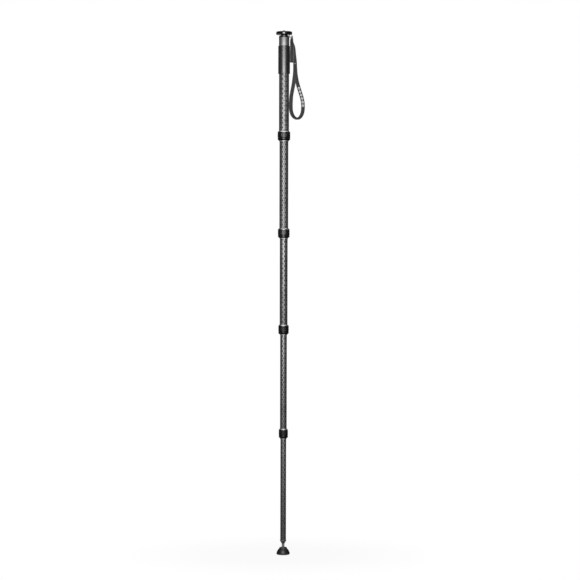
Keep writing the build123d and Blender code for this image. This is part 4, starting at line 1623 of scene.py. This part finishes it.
def rays_that_see(tree):
    """1 for camera, glossy and transmission rays, which see the white background."""
    seen = tree.node("ShaderNodeLightPath", output="Is Camera Ray")
    shiny = tree.maths("MAXIMUM", seen.twin("Is Glossy Ray"), seen.twin("Is Transmission Ray"))
    return tree.maths("MAXIMUM", seen, shiny)


def make_world():
    world = bpy.data.worlds.new("white_studio")
    bpy.context.scene.world = world
    world.use_nodes = True
    tree = Tree(world.node_tree)
    seen = rays_that_see(tree)
    sockets = {"Color": grey(1.0), "Strength": world_glow + seen * (1 - world_glow)}
    glow = tree.node("ShaderNodeBackground", sockets=sockets)
    tree.node("ShaderNodeOutputWorld", sockets={"Surface": glow})


def make_floor():
    """A white floor that keeps a soft shadow round the foot and fades into the background."""
    material = new_material("white_floor")
    tree = Tree(material.node_tree)
    place = tree.node("ShaderNodeTexCoord", output="Object")
    distance = tree.vector_maths("LENGTH", place, output="Value")
    fade = distance.ramp(floor_fade_start, floor_fade_end)
    bright = rays_that_see(tree) * (1 - floor_shadow_share * (1 - fade))
    paper = tree.node("ShaderNodeBsdfDiffuse", sockets={"Color": grey(floor_tone)})
    glow = tree.node("ShaderNodeEmission", sockets={"Color": grey(1.0), "Strength": 1.0})
    surface = tree.node("ShaderNodeMixShader", sockets={0: bright, 1: paper, 2: glow})
    tree.node("ShaderNodeOutputMaterial", sockets={"Surface": surface})
    mesh = bpy.data.meshes.new("studio_floor")
    corners = [(-1, -1), (1, -1), (1, 1), (-1, 1)]
    mesh.from_pydata([(x * floor_half, y * floor_half, 0) for x, y in corners], [], [(0, 1, 2, 3)])
    mesh.materials.append(material)
    place_object("studio_floor", mesh)


def card_material(name, tone):
    """A card's even glow."""
    material = new_material(name)
    tree = Tree(material.node_tree)
    glow = tree.node("ShaderNodeEmission", sockets={"Color": grey(1.0), "Strength": tone})
    tree.node("ShaderNodeOutputMaterial", sockets={"Surface": glow})
    return material


def show_in_reflections(card, material):
    """Leaves a card of the studio to reflections alone."""
    card.data.materials.append(material)
    card.visible_camera = False
    card.visible_diffuse = False
    card.visible_shadow = False
    card.visible_transmission = False


def make_card(side):
    """A tall curved card beside the pole."""
    points, faces = [], []
    for step in range(card_steps + 1):
        angle = radians(card_start + (card_end - card_start) * step / card_steps)
        x, y = side * card_radius * sin(angle), -card_radius * cos(angle)
        points += [(x, y, 0), (x, y, card_height)]
        if step:
            faces.append((2 * step - 2, 2 * step, 2 * step + 1, 2 * step - 1))
    mesh = bpy.data.meshes.new("studio_card")
    mesh.from_pydata(points, [], faces)
    name = f"studio_card_{'left' if side < 0 else 'right'}"
    show_in_reflections(place_object(name, mesh), card_material(f"{name}_tone", card_tones[side]))


def make_floor_card():
    """A dark ring on the floor round the foot, seen only in reflections."""
    shape = bmesh.new()
    turns = [FULL_TURN * k / floor_card_facets for k in range(floor_card_facets)]
    inner, outer = (
        [shape.verts.new((radius * cos(a), radius * sin(a), floor_card_lift)) for a in turns]
        for radius in (floor_card_start, card_radius)
    )
    for k in range(floor_card_facets):
        shape.faces.new((inner[k - 1], outer[k - 1], outer[k], inner[k]))
    card = place_object("floor_card", mesh_of("floor_card", shape))
    show_in_reflections(card, card_material("floor_card_tone", floor_card_tone))


def make_softbox(name, place, aim, width, height, glow):
    """A rectangular lamp; glow is how bright its face is."""
    lamp = bpy.data.lights.new(name, "AREA")
    lamp.shape = "RECTANGLE"
    lamp.size = width
    lamp.size_y = height
    lamp.energy = glow * pi * width * height
    softbox = bpy.data.objects.new(name, lamp)
    bpy.context.scene.collection.objects.link(softbox)
    softbox.location = place
    softbox.rotation_euler = (aim - place).to_track_quat("-Z", "Y").to_euler()
    softbox.visible_camera = False


def make_studio():
    make_world()
    make_floor()
    for side in card_tones:
        make_card(side)
    make_floor_card()
    middle = AXIS * key_height
    key_place = Vector((key_side, -key_distance, key_height))
    make_softbox("key_softbox", key_place, middle, key_size, key_size, key_glow)
    top_place = Vector((top_side, top_distance, top_height))
    make_softbox("top_softbox", top_place, middle, top_size, top_size, top_glow)
    for number, (low, high, glow) in enumerate(back_boxes, 1):
        place = Vector((0, back_distance, (low + high) / 2))
        aim = Vector((0, 0, place.z))
        make_softbox(f"back_softbox_{number}", place, aim, back_width, high - low, glow)


def make_camera():
    data = bpy.data.cameras.new("camera")
    data.sensor_width = sensor_width
    data.lens = camera_lens
    camera = bpy.data.objects.new("camera", data)
    bpy.context.scene.collection.objects.link(camera)
    camera.location = (camera_side, -camera_distance, camera_height)
    camera.rotation_euler = (pi / 2, -camera_roll, 0)
    bpy.context.scene.camera = camera


fluting = fluting_shape()
screw_thread = thread_shape()
ring_of_screws = ring_of_screws_shape()
webbing = webbing_shape()
bar_tack = bar_tack_shape()
running_stitch = running_stitch_shape()

make_camera()
make_studio()
for number in range(1, len(tube_walls) + 1):
    make_tube(number)
for number in range(1, len(tube_walls)):
    make_lock(number)
make_grip()
make_top_collar()
make_cap()
make_disc()
make_pad()
make_set_screws()
make_rim_screw()
make_stud()
make_strap_ring()
make_webbing("hanger_webbing", hanger_route(), "strap_hanger", finishes["webbing"])
marked = nylon_webbing("marked_webbing", edge_highlight_tone=0.12, motif=motif_stretch(loop_route()))
make_webbing("loop_webbing", loop_route(), "strap_loop", marked)
make_sewing()
make_plug()
make_ball()
make_retainer()
make_foot()
for node, piece in frame["nodes"].items():
    if not piece.hide_render:
        dress(node)

scene = bpy.context.scene
scene.view_settings.view_transform = "Standard"
